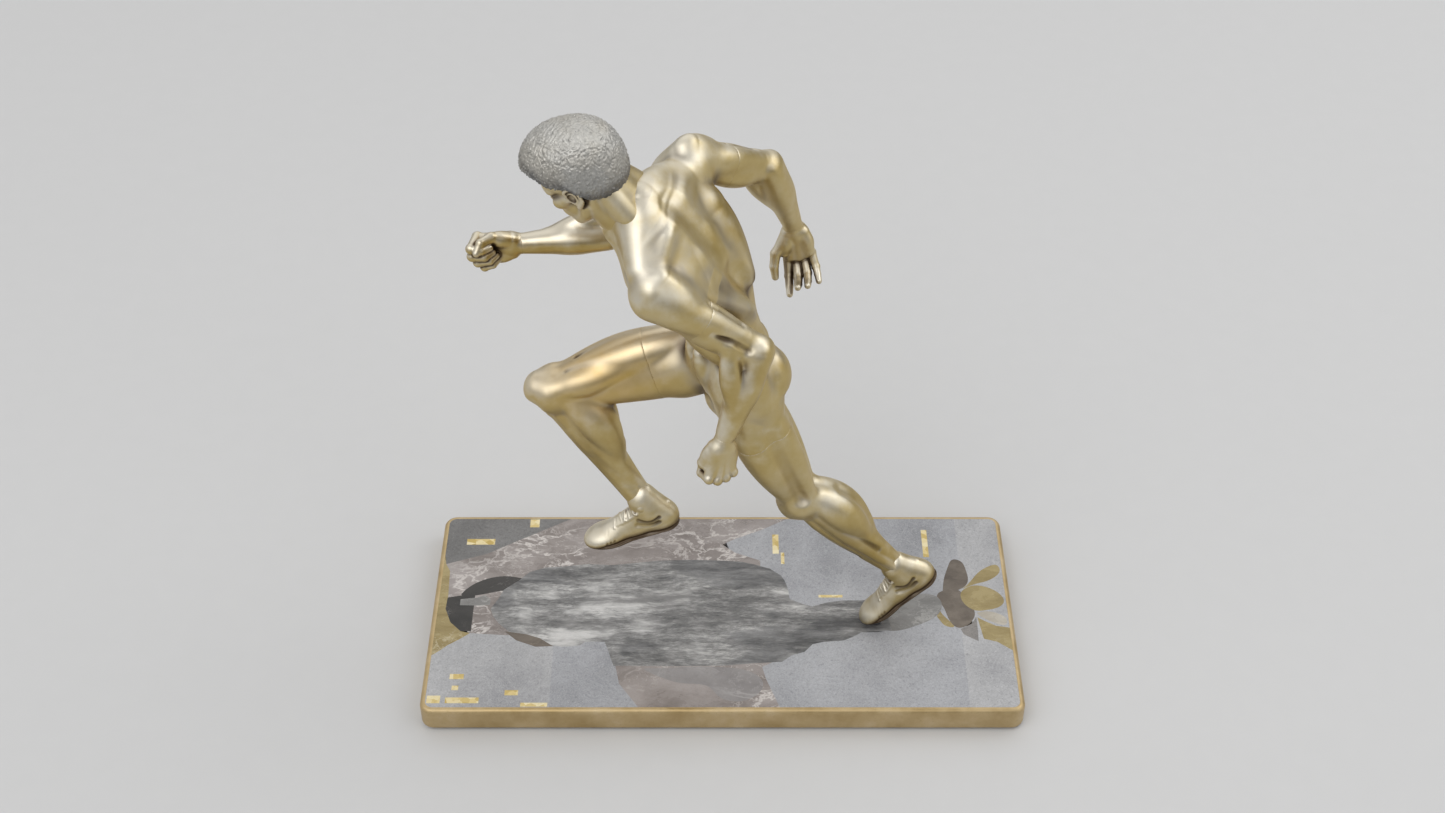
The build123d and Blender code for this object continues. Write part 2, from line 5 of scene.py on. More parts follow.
import bpy
import numpy as np
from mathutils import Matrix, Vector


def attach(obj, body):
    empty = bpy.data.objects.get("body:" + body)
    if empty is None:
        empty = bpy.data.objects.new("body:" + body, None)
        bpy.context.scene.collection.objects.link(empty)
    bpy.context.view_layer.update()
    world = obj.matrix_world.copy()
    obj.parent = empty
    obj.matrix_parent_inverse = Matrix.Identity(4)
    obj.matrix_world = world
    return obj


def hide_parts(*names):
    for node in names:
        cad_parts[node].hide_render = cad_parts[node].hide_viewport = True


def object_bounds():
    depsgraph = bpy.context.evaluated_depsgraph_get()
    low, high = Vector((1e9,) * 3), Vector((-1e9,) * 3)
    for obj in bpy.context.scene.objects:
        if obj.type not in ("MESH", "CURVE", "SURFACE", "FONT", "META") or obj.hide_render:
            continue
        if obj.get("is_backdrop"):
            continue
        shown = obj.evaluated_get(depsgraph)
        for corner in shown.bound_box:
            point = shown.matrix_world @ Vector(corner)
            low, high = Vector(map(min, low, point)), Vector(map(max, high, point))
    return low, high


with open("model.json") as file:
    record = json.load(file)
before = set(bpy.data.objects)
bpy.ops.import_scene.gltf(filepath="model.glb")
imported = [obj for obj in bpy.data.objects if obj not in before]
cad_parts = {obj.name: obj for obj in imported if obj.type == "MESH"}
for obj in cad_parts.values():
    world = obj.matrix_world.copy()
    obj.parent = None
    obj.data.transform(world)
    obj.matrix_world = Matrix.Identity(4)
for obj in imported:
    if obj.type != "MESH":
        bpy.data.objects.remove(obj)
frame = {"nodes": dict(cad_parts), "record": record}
CAD_LO, CAD_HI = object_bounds()
NODES = frame["nodes"]
POOL = ThreadPoolExecutor(4)
TOP = 17.5          # mm, height of the plinth's top face above the resting plane

# ---------------------------------------------------------------- small maths
def V(*a):
    return np.array(a if len(a) > 1 else a[0], dtype=float)


def un(a):
    a = np.asarray(a, float)
    return a / np.linalg.norm(a)


def lerp(a, b, t):
    return a + (b - a) * t


def frame_from(up, front):
    """Rows: side, front, up, with front squared to up."""
    u = un(up)
    f = un(np.asarray(front, float) - u * np.dot(front, u))
    s = np.cross(f, u)
    return np.array([s, f, u])


# --------------------------------------------- shapes as signed distance fields
class Shape:
    """One muscle, bone or fold: fn(points) -> distance, mm, with bounds."""
    __slots__ = ("fn", "c", "r", "k", "op")

    def __init__(self, fn, c, r, k=2.0, op="add"):
        self.fn, self.c, self.r, self.k, self.op = fn, np.asarray(c, float), float(r), k, op


def cone(a, b, ra, rb, k=2.0, op="add", flat=None, n=None):
    a, b = V(a), V(b)
    ab = b - a
    L2 = float(ab @ ab) + 1e-9

    def fn(p):
        q = p - a
        t = np.clip((q @ ab) / L2, 0, 1)
        q = q - t[:, None] * ab
        if flat is not None:
            s = q @ n
            q = q + (s * (1 / flat - 1))[:, None] * n
        return (np.sqrt(np.einsum("ij,ij->i", q, q)) - (ra + (rb - ra) * t)) * (flat if flat is not None and flat < 1 else 1)
    return Shape(fn, (a + b) / 2, math.sqrt(L2) / 2 + max(ra, rb), k, op)


def belly(a, b, r0, rm, r1, pk=0.5, sharp=1.0, k=2.0, op="add", bow=None, flat=None, n=None):
    """A muscle from a to b: end radii r0, r1, belly rm at pk along it, bowed by a vector."""
    a, b = V(a), V(b)
    ab = b - a
    L2 = float(ab @ ab) + 1e-9
    bw = None if bow is None else V(bow)
    e = math.log(0.5) / math.log(min(max(pk, 0.05), 0.95))
    if n is not None:
        n = un(V(n) - ab * (np.dot(n, ab) / L2))

    def fn(p):
        q = p - a
        t = np.clip((q @ ab) / L2, 0, 1)
        s = np.sin(np.pi * np.power(t, e))
        if sharp != 1.0:
            s = np.power(np.maximum(s, 0), sharp)
        q = q - t[:, None] * ab
        if bw is not None:
            q = q - (4 * t * (1 - t))[:, None] * bw
        r = r0 + (r1 - r0) * t
        r = r + (rm - (r0 + r1) / 2) * s
        if flat is not None:
            w = q @ n
            q = q + (w * (1 / flat - 1))[:, None] * n
            return (np.sqrt(np.einsum("ij,ij->i", q, q)) - r) * (flat if flat < 1 else 1)
        return np.sqrt(np.einsum("ij,ij->i", q, q)) - r
    return Shape(fn, (a + b) / 2, math.sqrt(L2) / 2 + max(r0, rm, r1) * 1.3 + (0 if bw is None else np.linalg.norm(bw)), k, op)


def ell(c, r, R=None, k=2.0, op="add", p4=None):
    c, r = V(c), V(r)
    M = np.eye(3) if R is None else np.asarray(R, float)

    def fn(p):
        q = (p - c) @ M.T
        if p4:
            u = np.abs(q / r)
            k0 = np.power((u ** p4).sum(1), 1.0 / p4) + 1e-9
            return (k0 - 1) * r.min()
        u = q / r
        k0 = np.sqrt(np.einsum("ij,ij->i", u, u)) + 1e-9
        w = u / r
        k1 = np.sqrt(np.einsum("ij,ij->i", w, w)) + 1e-9
        return k0 * (k0 - 1) / k1
    return Shape(fn, c, float(r.max()) * (1.3 if p4 else 1.0), k, op)


def path(pts, rs, k=2.0, op="add", flat=None, n=None):
    """A bent rope of round cones through points."""
    pts = [V(p) for p in pts]
    segs = [cone(pts[i], pts[i + 1], rs[i], rs[i + 1], flat=flat, n=n) for i in range(len(pts) - 1)]

    def fn(p):
        d = segs[0].fn(p)
        for s in segs[1:]:
            d = np.minimum(d, s.fn(p))
        return d
    P = np.array(pts)
    c = (P.min(0) + P.max(0)) / 2
    return Shape(fn, c, float(np.linalg.norm(P - c, axis=1).max()) + max(rs), k, op)


def smooth(pts, n=4):
    """Catmull-Rom through points."""
    P = [V(p) for p in pts]
    P = [2 * P[0] - P[1]] + P + [2 * P[-1] - P[-2]]
    out = []
    for i in range(1, len(P) - 2):
        for j in range(n):
            t = j / n
            a, b, c, d = P[i - 1], P[i], P[i + 1], P[i + 2]
            out.append(0.5 * ((2 * b) + (c - a) * t + (2 * a - 5 * b + 4 * c - d) * t * t + (3 * b - a - 3 * c + d) * t ** 3))
    out.append(P[-2])
    return out


def smin(a, b, k):
    h = np.maximum(k - np.abs(a - b), 0) / k
    return np.minimum(a, b) - h * h * k * 0.25


def smax(a, b, k):
    return -smin(-a, -b, k)


def combine(shapes, p, base=None):
    d = base
    for s in shapes:
        e = s.fn(p)
        if d is None:
            d = e if s.op == "add" else np.full(len(p), 50.0)
            continue
        if s.op == "add":
            d = smin(d, e, s.k)
        elif s.op == "cut":        # a furrow pressed into the surface, deepest along its line
            w = 1.4 * s.k
            t = np.clip((w - e) / (w + 0.8), 0, 1)
            d = d + (0.55 + 0.30 * s.k) * t * t * (3 - 2 * t)
        elif s.op == "carve":
            d = smax(d, -e, s.k)
        elif s.op == "meet":
            d = smax(d, e, s.k)
        elif s.op == "swell":      # lifts the surface where the shape reaches, softly
            d = d - s.k * np.clip(-e, 0, None)
    return d


def net(groups, joiner, lo, hi, h, block=8, pool=None):
    """Grid of joined distance groups inside a box, worked out only near the surface.
    A group is (name, shapes, bound): bound(p) is over 0 where the group is cut away, or None."""
    lo, hi = V(lo), V(hi)
    n = np.ceil((hi - lo) / h).astype(int) + 1
    nb = np.ceil(n / block).astype(int)
    n = nb * block + 1
    ax = [lo[i] + np.arange(n[i]) * h for i in range(3)]
    rad = block * h * math.sqrt(3) / 2
    cs = [lo[i] + (np.arange(nb[i]) + 0.5) * block * h for i in range(3)]
    CX, CY, CZ = np.meshgrid(*cs, indexing="ij")
    CC = np.stack([CX.ravel(), CY.ravel(), CZ.ravel()], 1)
    vals = []

    def far(g):
        name, shapes, bound = g
        D = np.stack([s.fn(CC) for s in shapes])
        add = np.array([s.op == "add" for s in shapes])
        meet = np.array([s.op == "meet" for s in shapes])
        ks = np.array([s.k for s in shapes])
        best = D[add].min(0)
        near = np.where(add[:, None], D - 0.1 * rad < best + 2 * rad + ks[:, None], D < rad * 1.05 + ks[:, None] + 1.0)
        near |= meet[:, None]
        reach = best if bound is None else np.maximum(best, bound(CC))
        return name, shapes, bound, near, reach
    vals = list(pool.map(far, groups)) if pool else [far(g) for g in groups]
    low = np.min([v[4] for v in vals], 0)
    active = np.where(np.abs(low) < rad * 1.25 + 5.0)[0]
    G = np.where(low < 0, -20.0, 20.0).astype(np.float32).reshape(tuple(nb))
    G = np.repeat(np.repeat(np.repeat(G, block, 0), block, 1), block, 2)
    G = np.pad(G, ((0, 1), (0, 1), (0, 1)), mode="edge")

    def do(b):
        i, j, k = np.unravel_index(b, tuple(nb))
        s = (slice(i * block, (i + 1) * block + 1), slice(j * block, (j + 1) * block + 1), slice(k * block, (k + 1) * block + 1))
        X, Y, Z = np.meshgrid(ax[0][s[0]], ax[1][s[1]], ax[2][s[2]], indexing="ij")
        P = np.stack([X.ravel(), Y.ravel(), Z.ravel()], 1)
        parts = []
        for name, shapes, bound, near, reach in vals:
            if reach[b] > low[b] + 2 * rad + 12:
                continue
            sel = [sh for sh, m in zip(shapes, near[:, b]) if m]
            if sel:
                e = combine(sel, P)
                if bound is not None:
                    e = np.maximum(e, bound(P))
                parts.append((name, e))
        return s, joiner(parts, P).reshape(X.shape)
    res = list(pool.map(do, active) if pool else map(do, active))
    for s, v in res:
        G[s] = v
    # a shape that runs out of the box is capped at its side, so the mesh stays closed
    for side in (0, -1):
        G[side] = G[:, side] = G[:, :, side] = 20.0
    return G, lo, h


def mesh_grid(G, lo, h):
    S = G < 0
    nx, ny, nz = G.shape
    c = S[:-1, :-1, :-1].astype(np.int8)
    c = c.copy()
    for dx in (0, 1):
        for dy in (0, 1):
            for dz in (0, 1):
                if dx or dy or dz:
                    c += S[dx:nx - 1 + dx, dy:ny - 1 + dy, dz:nz - 1 + dz]
    act = (c > 0) & (c < 8)
    cells = np.argwhere(act)
    ids = np.full(act.shape, -1, np.int32)
    ids[act] = np.arange(len(cells))
    # vertex: mean of the edge crossings
    acc = np.zeros((len(cells), 3))
    cnt = np.zeros(len(cells))
    ci, cj, ck = cells.T
    corner = {}
    for dx in (0, 1):
        for dy in (0, 1):
            for dz in (0, 1):
                corner[(dx, dy, dz)] = G[ci + dx, cj + dy, ck + dz].astype(float)
    for axis in range(3):
        o = [0, 1, 2]
        o.remove(axis)
        for u in (0, 1):
            for w in (0, 1):
                a = [0, 0, 0]
                a[o[0]], a[o[1]] = u, w
                b = list(a)
                b[axis] = 1
                va, vb = corner[tuple(a)], corner[tuple(b)]
                m = (va < 0) != (vb < 0)
                t = np.where(m, va / np.where(m, va - vb, 1), 0)
                pt = np.zeros((len(cells), 3))
                pt[:, o[0]], pt[:, o[1]] = u, w
                pt[:, axis] = t
                acc += pt * m[:, None]
                cnt += m
    P = lo + (cells + acc / cnt[:, None]) * h
    quads = []
    for axis in range(3):
        o = [0, 1, 2]
        o.remove(axis)
        sl0 = [slice(1, -1)] * 3
        sl1 = [slice(1, -1)] * 3
        sl0[axis] = slice(0, -1)
        sl1[axis] = slice(1, None)
        A, B = S[tuple(sl0)], S[tuple(sl1)]
        for flip in (False, True):
            m = (A & ~B) if not flip else (~A & B)
            e = np.argwhere(m)
            if len(e) == 0:
                continue
            e = e + 1
            e[:, axis] -= 1
            q = []
            for du, dw in ((-1, -1), (0, -1), (0, 0), (-1, 0)):
                f = e.copy()
                f[:, o[0]] += du
                f[:, o[1]] += dw
                q.append(ids[f[:, 0], f[:, 1], f[:, 2]])
            q = np.stack(q, 1)
            if flip != (axis == 1):
                q = q[:, ::-1]
            quads.append(q)
    Q = np.concatenate(quads) if quads else np.zeros((0, 4), int)
    Q = Q[(Q >= 0).all(1)]
    return P, Q


def sample(G, lo, h, P):
    q = (P - lo) / h
    q = np.clip(q, 0, np.array(G.shape) - 1.001)
    i = q.astype(int)
    f = q - i
    out = 0
    for dx in (0, 1):
        wx = f[:, 0] if dx else 1 - f[:, 0]
        for dy in (0, 1):
            wy = f[:, 1] if dy else 1 - f[:, 1]
            for dz in (0, 1):
                wz = f[:, 2] if dz else 1 - f[:, 2]
                out = out + G[i[:, 0] + dx, i[:, 1] + dy, i[:, 2] + dz] * (wx * wy * wz)
    return out


def grad(G, lo, h, P, e=1.0):
    e = e * h
    g = np.stack([sample(G, lo, h, P + V(*d) * e) - sample(G, lo, h, P - V(*d) * e) for d in ((1, 0, 0), (0, 1, 0), (0, 0, 1))], 1)
    return g / np.maximum(np.linalg.norm(g, axis=1), 1e-9)[:, None]
# ---------------------------------------------------------------- the athlete
# Joint centres in mm above the plinth's top face.
HIP_L, KNEE_L, ANK_L = V(8.5, -17.5, 197), V(46.0, -13, 111), V(107.5, -8, 42)
HIP_R, KNEE_R, ANK_R = V(-7, 17.5, 202), V(-97.5, 10, 174), V(-44.5, -4.9, 94.5)
SHO_L, ELB_L, WRI_L = V(-36, -41, 281), V(18.5, -36.5, 242), V(0, -50, 188.5)
SHO_R = V(-17.1, 41.2, 306)
ELB_F, WRI_F = V(-63.6, 44, 258.5), V(-113.5, 36.5, 257.5)
ELB_B, WRI_B = V(25.0, 73.2, 282.5), V(41.0, 82, 233)


class Limb:
    """Local frame of a bone a-b: along, lateral, front."""

    def __init__(self, a, b, front, lat_sign):
        self.a, self.b = a, b
        self.L = np.linalg.norm(b - a)
        self.d = un(b - a)
        f = np.asarray(front, float)
        self.f = un(f - self.d * np.dot(f, self.d))
        l = np.cross(self.d, self.f)
        self.l = l * (1 if l[1] * lat_sign > 0 else -1)

    def P(self, t, l=0.0, f=0.0):
        return self.a + self.d * (self.L * t) + self.l * l + self.f * f


def bend_frames(a, b, c, kind, lat_sign, lat_hint=None):
    d1, d2 = un(b - a), un(c - b)
    if kind == "knee":
        front1 = -(d2 - d1 * np.dot(d1, d2))
        front2 = (d1 - d2 * np.dot(d1, d2))
    else:
        front1 = (d2 - d1 * np.dot(d1, d2))
        front2 = -(d1 - d2 * np.dot(d1, d2))
    return Limb(a, b, front1, lat_sign), Limb(b, c, front2, lat_sign)


def thigh_shapes(T, K, s=1.0):
    """T thigh frame, K shank frame."""
    P, f, l = T.P, T.f, T.l
    bis = un(T.f + K.f)
    out = [
        cone(P(-0.02, 1, 0), P(0.5, 1, 2), 14.0, 12.0, k=4),
        cone(P(0.4, 1, 2), P(1.0, 0, 0), 11.5, 9.2, k=4),
        # quadriceps
        belly(P(0.02, 0, 10), P(0.93, -0.5, 8.0), 4.5, 11.4 * s, 4.2, pk=0.45, k=5, flat=0.86, n=f),
        belly(P(0.08, 9, 4), P(0.93, 7.2, 5.0), 4.0, 11.0, 3.4, pk=0.50, k=5),
        belly(P(0.34, -7.6, 4.5), P(0.985, -7.4, 4.8), 3.0, 8.6, 4.0, pk=0.66, k=3.6),
        belly(P(0.62, 6.5, 6.5), P(0.96, 5.0, 7.5), 2.0, 4.6, 2.2, pk=0.5, k=1.6),
        # adductors and gracilis
        belly(P(-0.05, -8.5, 1), P(0.62, -7.5, -2.5), 8.0, 8.6, 4.0, pk=0.3, k=3.5),
        # hamstrings
        belly(P(-0.02, 4.0, -9), P(1.0, 8.2, -6.8), 5.0, 9.2, 2.6, pk=0.46, k=4.5),
        belly(P(-0.04, -3.0, -10), P(1.02, -7.2, -7.0), 5.5, 8.8, 2.2, pk=0.44, k=4),
        belly(P(0.05, -8.0, -5.5), P(1.0, -8.2, -4.0), 4.0, 6.6, 2.6, pk=0.4, k=4),
        # knee: condyles, patella, ligament
        ell(P(0.985, 4.8, 1.0), (10.0, 10.0, 10.2), k=6),
        ell(P(0.985, -4.8, 1.0), (10.0, 10.0, 10.2), k=6),
        ell(T.b + bis * 9.8 + T.d * 1.0, (6.4, 7.0, 4.0), R=np.array([T.l, np.cross(bis, T.l), bis]), k=8),
        # fold between rectus and vastus, iliotibial band, sartorius
        path(smooth([P(0.30, 5.6, 12.5), P(0.55, 4.8, 13.0), P(0.78, 4.2, 11.6)]), [0.8] * 9, k=2.4, op="cut"),
        path(smooth([P(0.45, -6.2, 11.4), P(0.65, -4.4, 12.0), P(0.85, -4.0, 10.6)]), [0.8] * 9, k=2.2, op="cut"),
        path(smooth([P(0.30, 16.5, -6.5), P(0.6, 15.5, -4.6), P(0.9, 12.0, -2.4)]), [0.7] * 9, k=3.6, op="cut"),
        path(smooth([P(0.45, 1.2, -19.4), P(0.7, 1.0, -16.6), P(0.92, 0.6, -12.6)]), [0.8] * 9, k=4.0, op="cut"),
    ]
    return out


def shank_shapes(T, K, full=0.0):
    P, f, l = K.P, K.f, K.l
    bis = un(T.f + K.f)
    return [
        cone(P(0.0, 0, 0), P(0.42, 0.5, 0.5), 9.2, 7.6, k=3),
        cone(P(0.3, 0.5, 0.5), P(1.0, 0, 0), 7.4, 5.6, k=3),
        # tibia
        ell(P(0.05, 4.6, 1.6), (6.6, 6.6, 6.6), k=3),
        ell(P(0.05, -4.6, 1.6), (6.6, 6.6, 6.6), k=3),
        cone(T.b + bis * 11.2, P(0.12, 0, 8.2), 2.6, 2.6, k=2),
        path([P(0.10, 0, 8.0), P(0.3, -1.0, 6.8), P(0.6, -1.4, 5.2), P(0.92, -2.0, 4.0)], [2.6, 2.2, 2.0, 2.0], k=2),
        belly(P(0.06, 4.0, 4.8), P(0.82, 0.6, 4.6), 2.4, 5.4, 1.8, pk=0.34, k=2),
        belly(P(0.08, 6.8, 0.6), P(0.93, 5.0, -2.6), 2.2, 4.4, 1.6, pk=0.34, k=1.6),
        # calf
        belly(P(-0.06, -4.6, -7.4), P(0.64, -3.0, -6.6), 2.8, 11.2 + full * 0.5, 3.0, pk=0.46, k=3.6, bow=K.f * (-3.0 - full)),
        belly(P(-0.06, 4.8, -7.2), P(0.58, 3.0, -6.4), 2.8, 11.0 + full * 0.5, 3.0, pk=0.44, k=3.6, bow=K.f * (-3.2 - full)),
        belly(P(0.10, 3.6, -3.5), P(0.84, 1.2, -5.2), 4.0, 7.4, 2.6, pk=0.5, k=2.2),
        belly(P(0.14, -3.8, -3.2), P(0.80, -1.6, -4.6), 4.0, 7.0, 2.6, pk=0.5, k=2.2),
        # Achilles
        path([P(0.50, 0, -8.6), P(0.7, 0, -7.6), P(0.88, 0, -7.2), P(1.05, 0, -8.6)], [3.6, 2.6, 2.1, 2.6], k=2.6),
        ell(P(0.985, 5.4, -1.0), (3.2, 3.2, 4.0), R=np.array([K.l, K.f, K.d]), k=1.8),
        ell(P(0.955, -5.2, 0.6), (3.2, 3.4, 4.0), R=np.array([K.l, K.f, K.d]), k=1.8),
        path(smooth([P(0.14, 0.2, -20.6), P(0.3, 0.2, -21.8), P(0.46, 0.2, -19.0)]), [0.9] * 9, k=4.5, op="cut"),
        path(smooth([P(0.25, 5.2, 7.6), P(0.45, 4.4, 6.8), P(0.65, 3.2, 6.2)]), [0.5] * 9, k=1.8, op="cut"),
        path(smooth([P(0.34, 8.6, -5.6), P(0.5, 7.6, -6.0), P(0.66, 6.0, -6.4)]), [0.6] * 9, k=2.0, op="cut"),
    ]


def arm_shapes(U, F, del_up, out_dir):
    """U upper arm, F forearm; del_up: direction of the top of the shoulder."""
    P, Q = U.P, F.P
    S = U.a
    up = un(del_up)
    o = un(out_dir - U.d * np.dot(out_dir, U.d) * 0.35)
    back = -U.f
    ins = P(0.50, 3.6, 0.6)
    sh = [
        ell(S, (11.0, 11.0, 11.0), k=3),
        cone(P(0.05), P(1.0), 7.8, 7.0, k=4),
        # deltoid: front, middle, rear heads
        belly(S + up * 6.5 + U.f * 7.0, ins, 4.2, 7.6, 2.4, pk=0.45, k=4),
        belly(S + up * 8.0 + o * 2.5, ins + o * 0.5, 4.6, 8.2, 2.4, pk=0.45, k=4),
        belly(S + up * 6.5 + back * 7.5, ins, 4.4, 7.8, 2.2, pk=0.45, k=4),
        # biceps and brachialis
        belly(P(0.12, -1.5, 4.0), P(0.97, -0.5, 4.4), 2.8, 7.6, 2.6, pk=0.52, k=3),
        belly(P(0.45, 3.6, 2.2), P(1.02, 2.0, 3.0), 3.0, 5.2, 3.2, pk=0.5, k=2.0),
        # triceps: long, lateral, medial and tendon
        belly(P(0.02, -2.6, -4.6), P(0.86, -1.6, -5.2), 3.8, 7.8, 3.2, pk=0.45, k=3.2),
        belly(P(0.12, 4.0, -4.4), P(0.82, 2.2, -5.0), 3.2, 7.2, 3.0, pk=0.42, k=3.2),
        belly(P(0.45, -0.5, -4.2), P(1.0, 0, -4.2), 4.6, 5.6, 4.2, pk=0.5, k=3),
        # elbow
        ell(P(0.99, 0, 0) + un(-U.f - F.f) * 3.6, (4.4, 4.4, 4.4), k=4),
        ell(P(0.97, 4.4, 0), (4.4, 4.4, 4.4), k=4),
        ell(P(0.97, -4.8, 0), (4.4, 4.4, 4.4), k=4),
        # furrows
        path(smooth([P(0.42, 1.2, -11.4), P(0.6, 0.8, -10.8), P(0.74, 0.4, -9.6)]), [0.7] * 9, k=2.4, op="cut"),
        path(smooth([P(0.45, 6.2, -1.4), P(0.68, 6.6, -1.0), P(0.9, 6.0, -0.4)]), [0.6] * 9, k=2.0, op="cut"),
        # forearm
        cone(Q(0.0), Q(0.4), 8.2, 8.0, k=5),
        cone(Q(0.35), Q(1.0), 7.8, 5.0, k=5),
        belly(P(0.72, 4.6, 2.0), Q(0.62, 3.0, 1.8), 3.0, 6.4, 2.6, pk=0.52, k=3.2),
        belly(Q(-0.06, 4.8, -1.0), Q(0.86, 2.2, -2.0), 3.2, 6.2, 2.4, pk=0.35, k=3.2),
        belly(Q(-0.04, -4.8, 1.4), Q(0.88, -2.2, 1.8), 3.6, 7.0, 2.4, pk=0.33, k=3.2),
        belly(Q(0.02, -1.6, -4.2), Q(0.9, -3.0, -1.5), 3.2, 5.0, 2.4, pk=0.3, k=3),
        path(smooth([Q(0.06, 1.4, -6.6), Q(0.3, 0.4, -6.8), Q(0.6, -0.8, -5.4)]), [0.5] * 9, k=1.8, op="cut"),
    ]
    return sh


TL, KL = bend_frames(HIP_L, KNEE_L, ANK_L, "knee", -1)
TR, KR = bend_frames(HIP_R, KNEE_R, ANK_R, "knee", 1)
UL, FL = bend_frames(SHO_L, ELB_L, WRI_L, "elbow", -1)
UF, FF = bend_frames(SHO_R, ELB_F, WRI_F, "elbow", 1)
UB, FB = bend_frames(SHO_R, ELB_B, WRI_B, "elbow", 1)
# the knee of the trailing leg hardly bends, so its frame is stated
TL = Limb(HIP_L, KNEE_L, V(-0.92, -0.10, -0.38), -1)
KL = Limb(KNEE_L, ANK_L, V(-0.74, -0.10, -0.66), -1)
TR = Limb(HIP_R, KNEE_R, V(-0.27, -0.02, 0.96), 1)
KR = Limb(KNEE_R, ANK_R, V(-0.84, -0.10, -0.52), 1)


# chest frame: rows side (to the athlete's right), front, up
C_UP = un(V(-0.62, 0.0, 0.78))
SHO_SIDE = un(V(0.10, 0.957, 0.24))
SHO_SIDE = un(SHO_SIDE - C_UP * np.dot(SHO_SIDE, C_UP))
C_FR = np.cross(C_UP, SHO_SIDE)
C_FR = C_FR if C_FR[0] < 0 else -C_FR
CHEST = np.array([SHO_SIDE, C_FR, C_UP])
CO = V(-24.5, -0.5, 276)


def C(s, f, u):
    return CO + SHO_SIDE * s + C_FR * f + C_UP * u


P_UP = un(V(-0.20, 0.0, 0.98))
HIP_SIDE = un(V(-0.36, 0.93, 0.05))
HIP_SIDE = un(HIP_SIDE - P_UP * np.dot(HIP_SIDE, P_UP))
P_FR = np.cross(P_UP, HIP_SIDE)
P_FR = P_FR if P_FR[0] < 0 else -P_FR
PELV = np.array([HIP_SIDE, P_FR, P_UP])
PO = V(6.5, 0, 205)


def B(s, f, u):
    return PO + HIP_SIDE * s + P_FR * f + P_UP * u


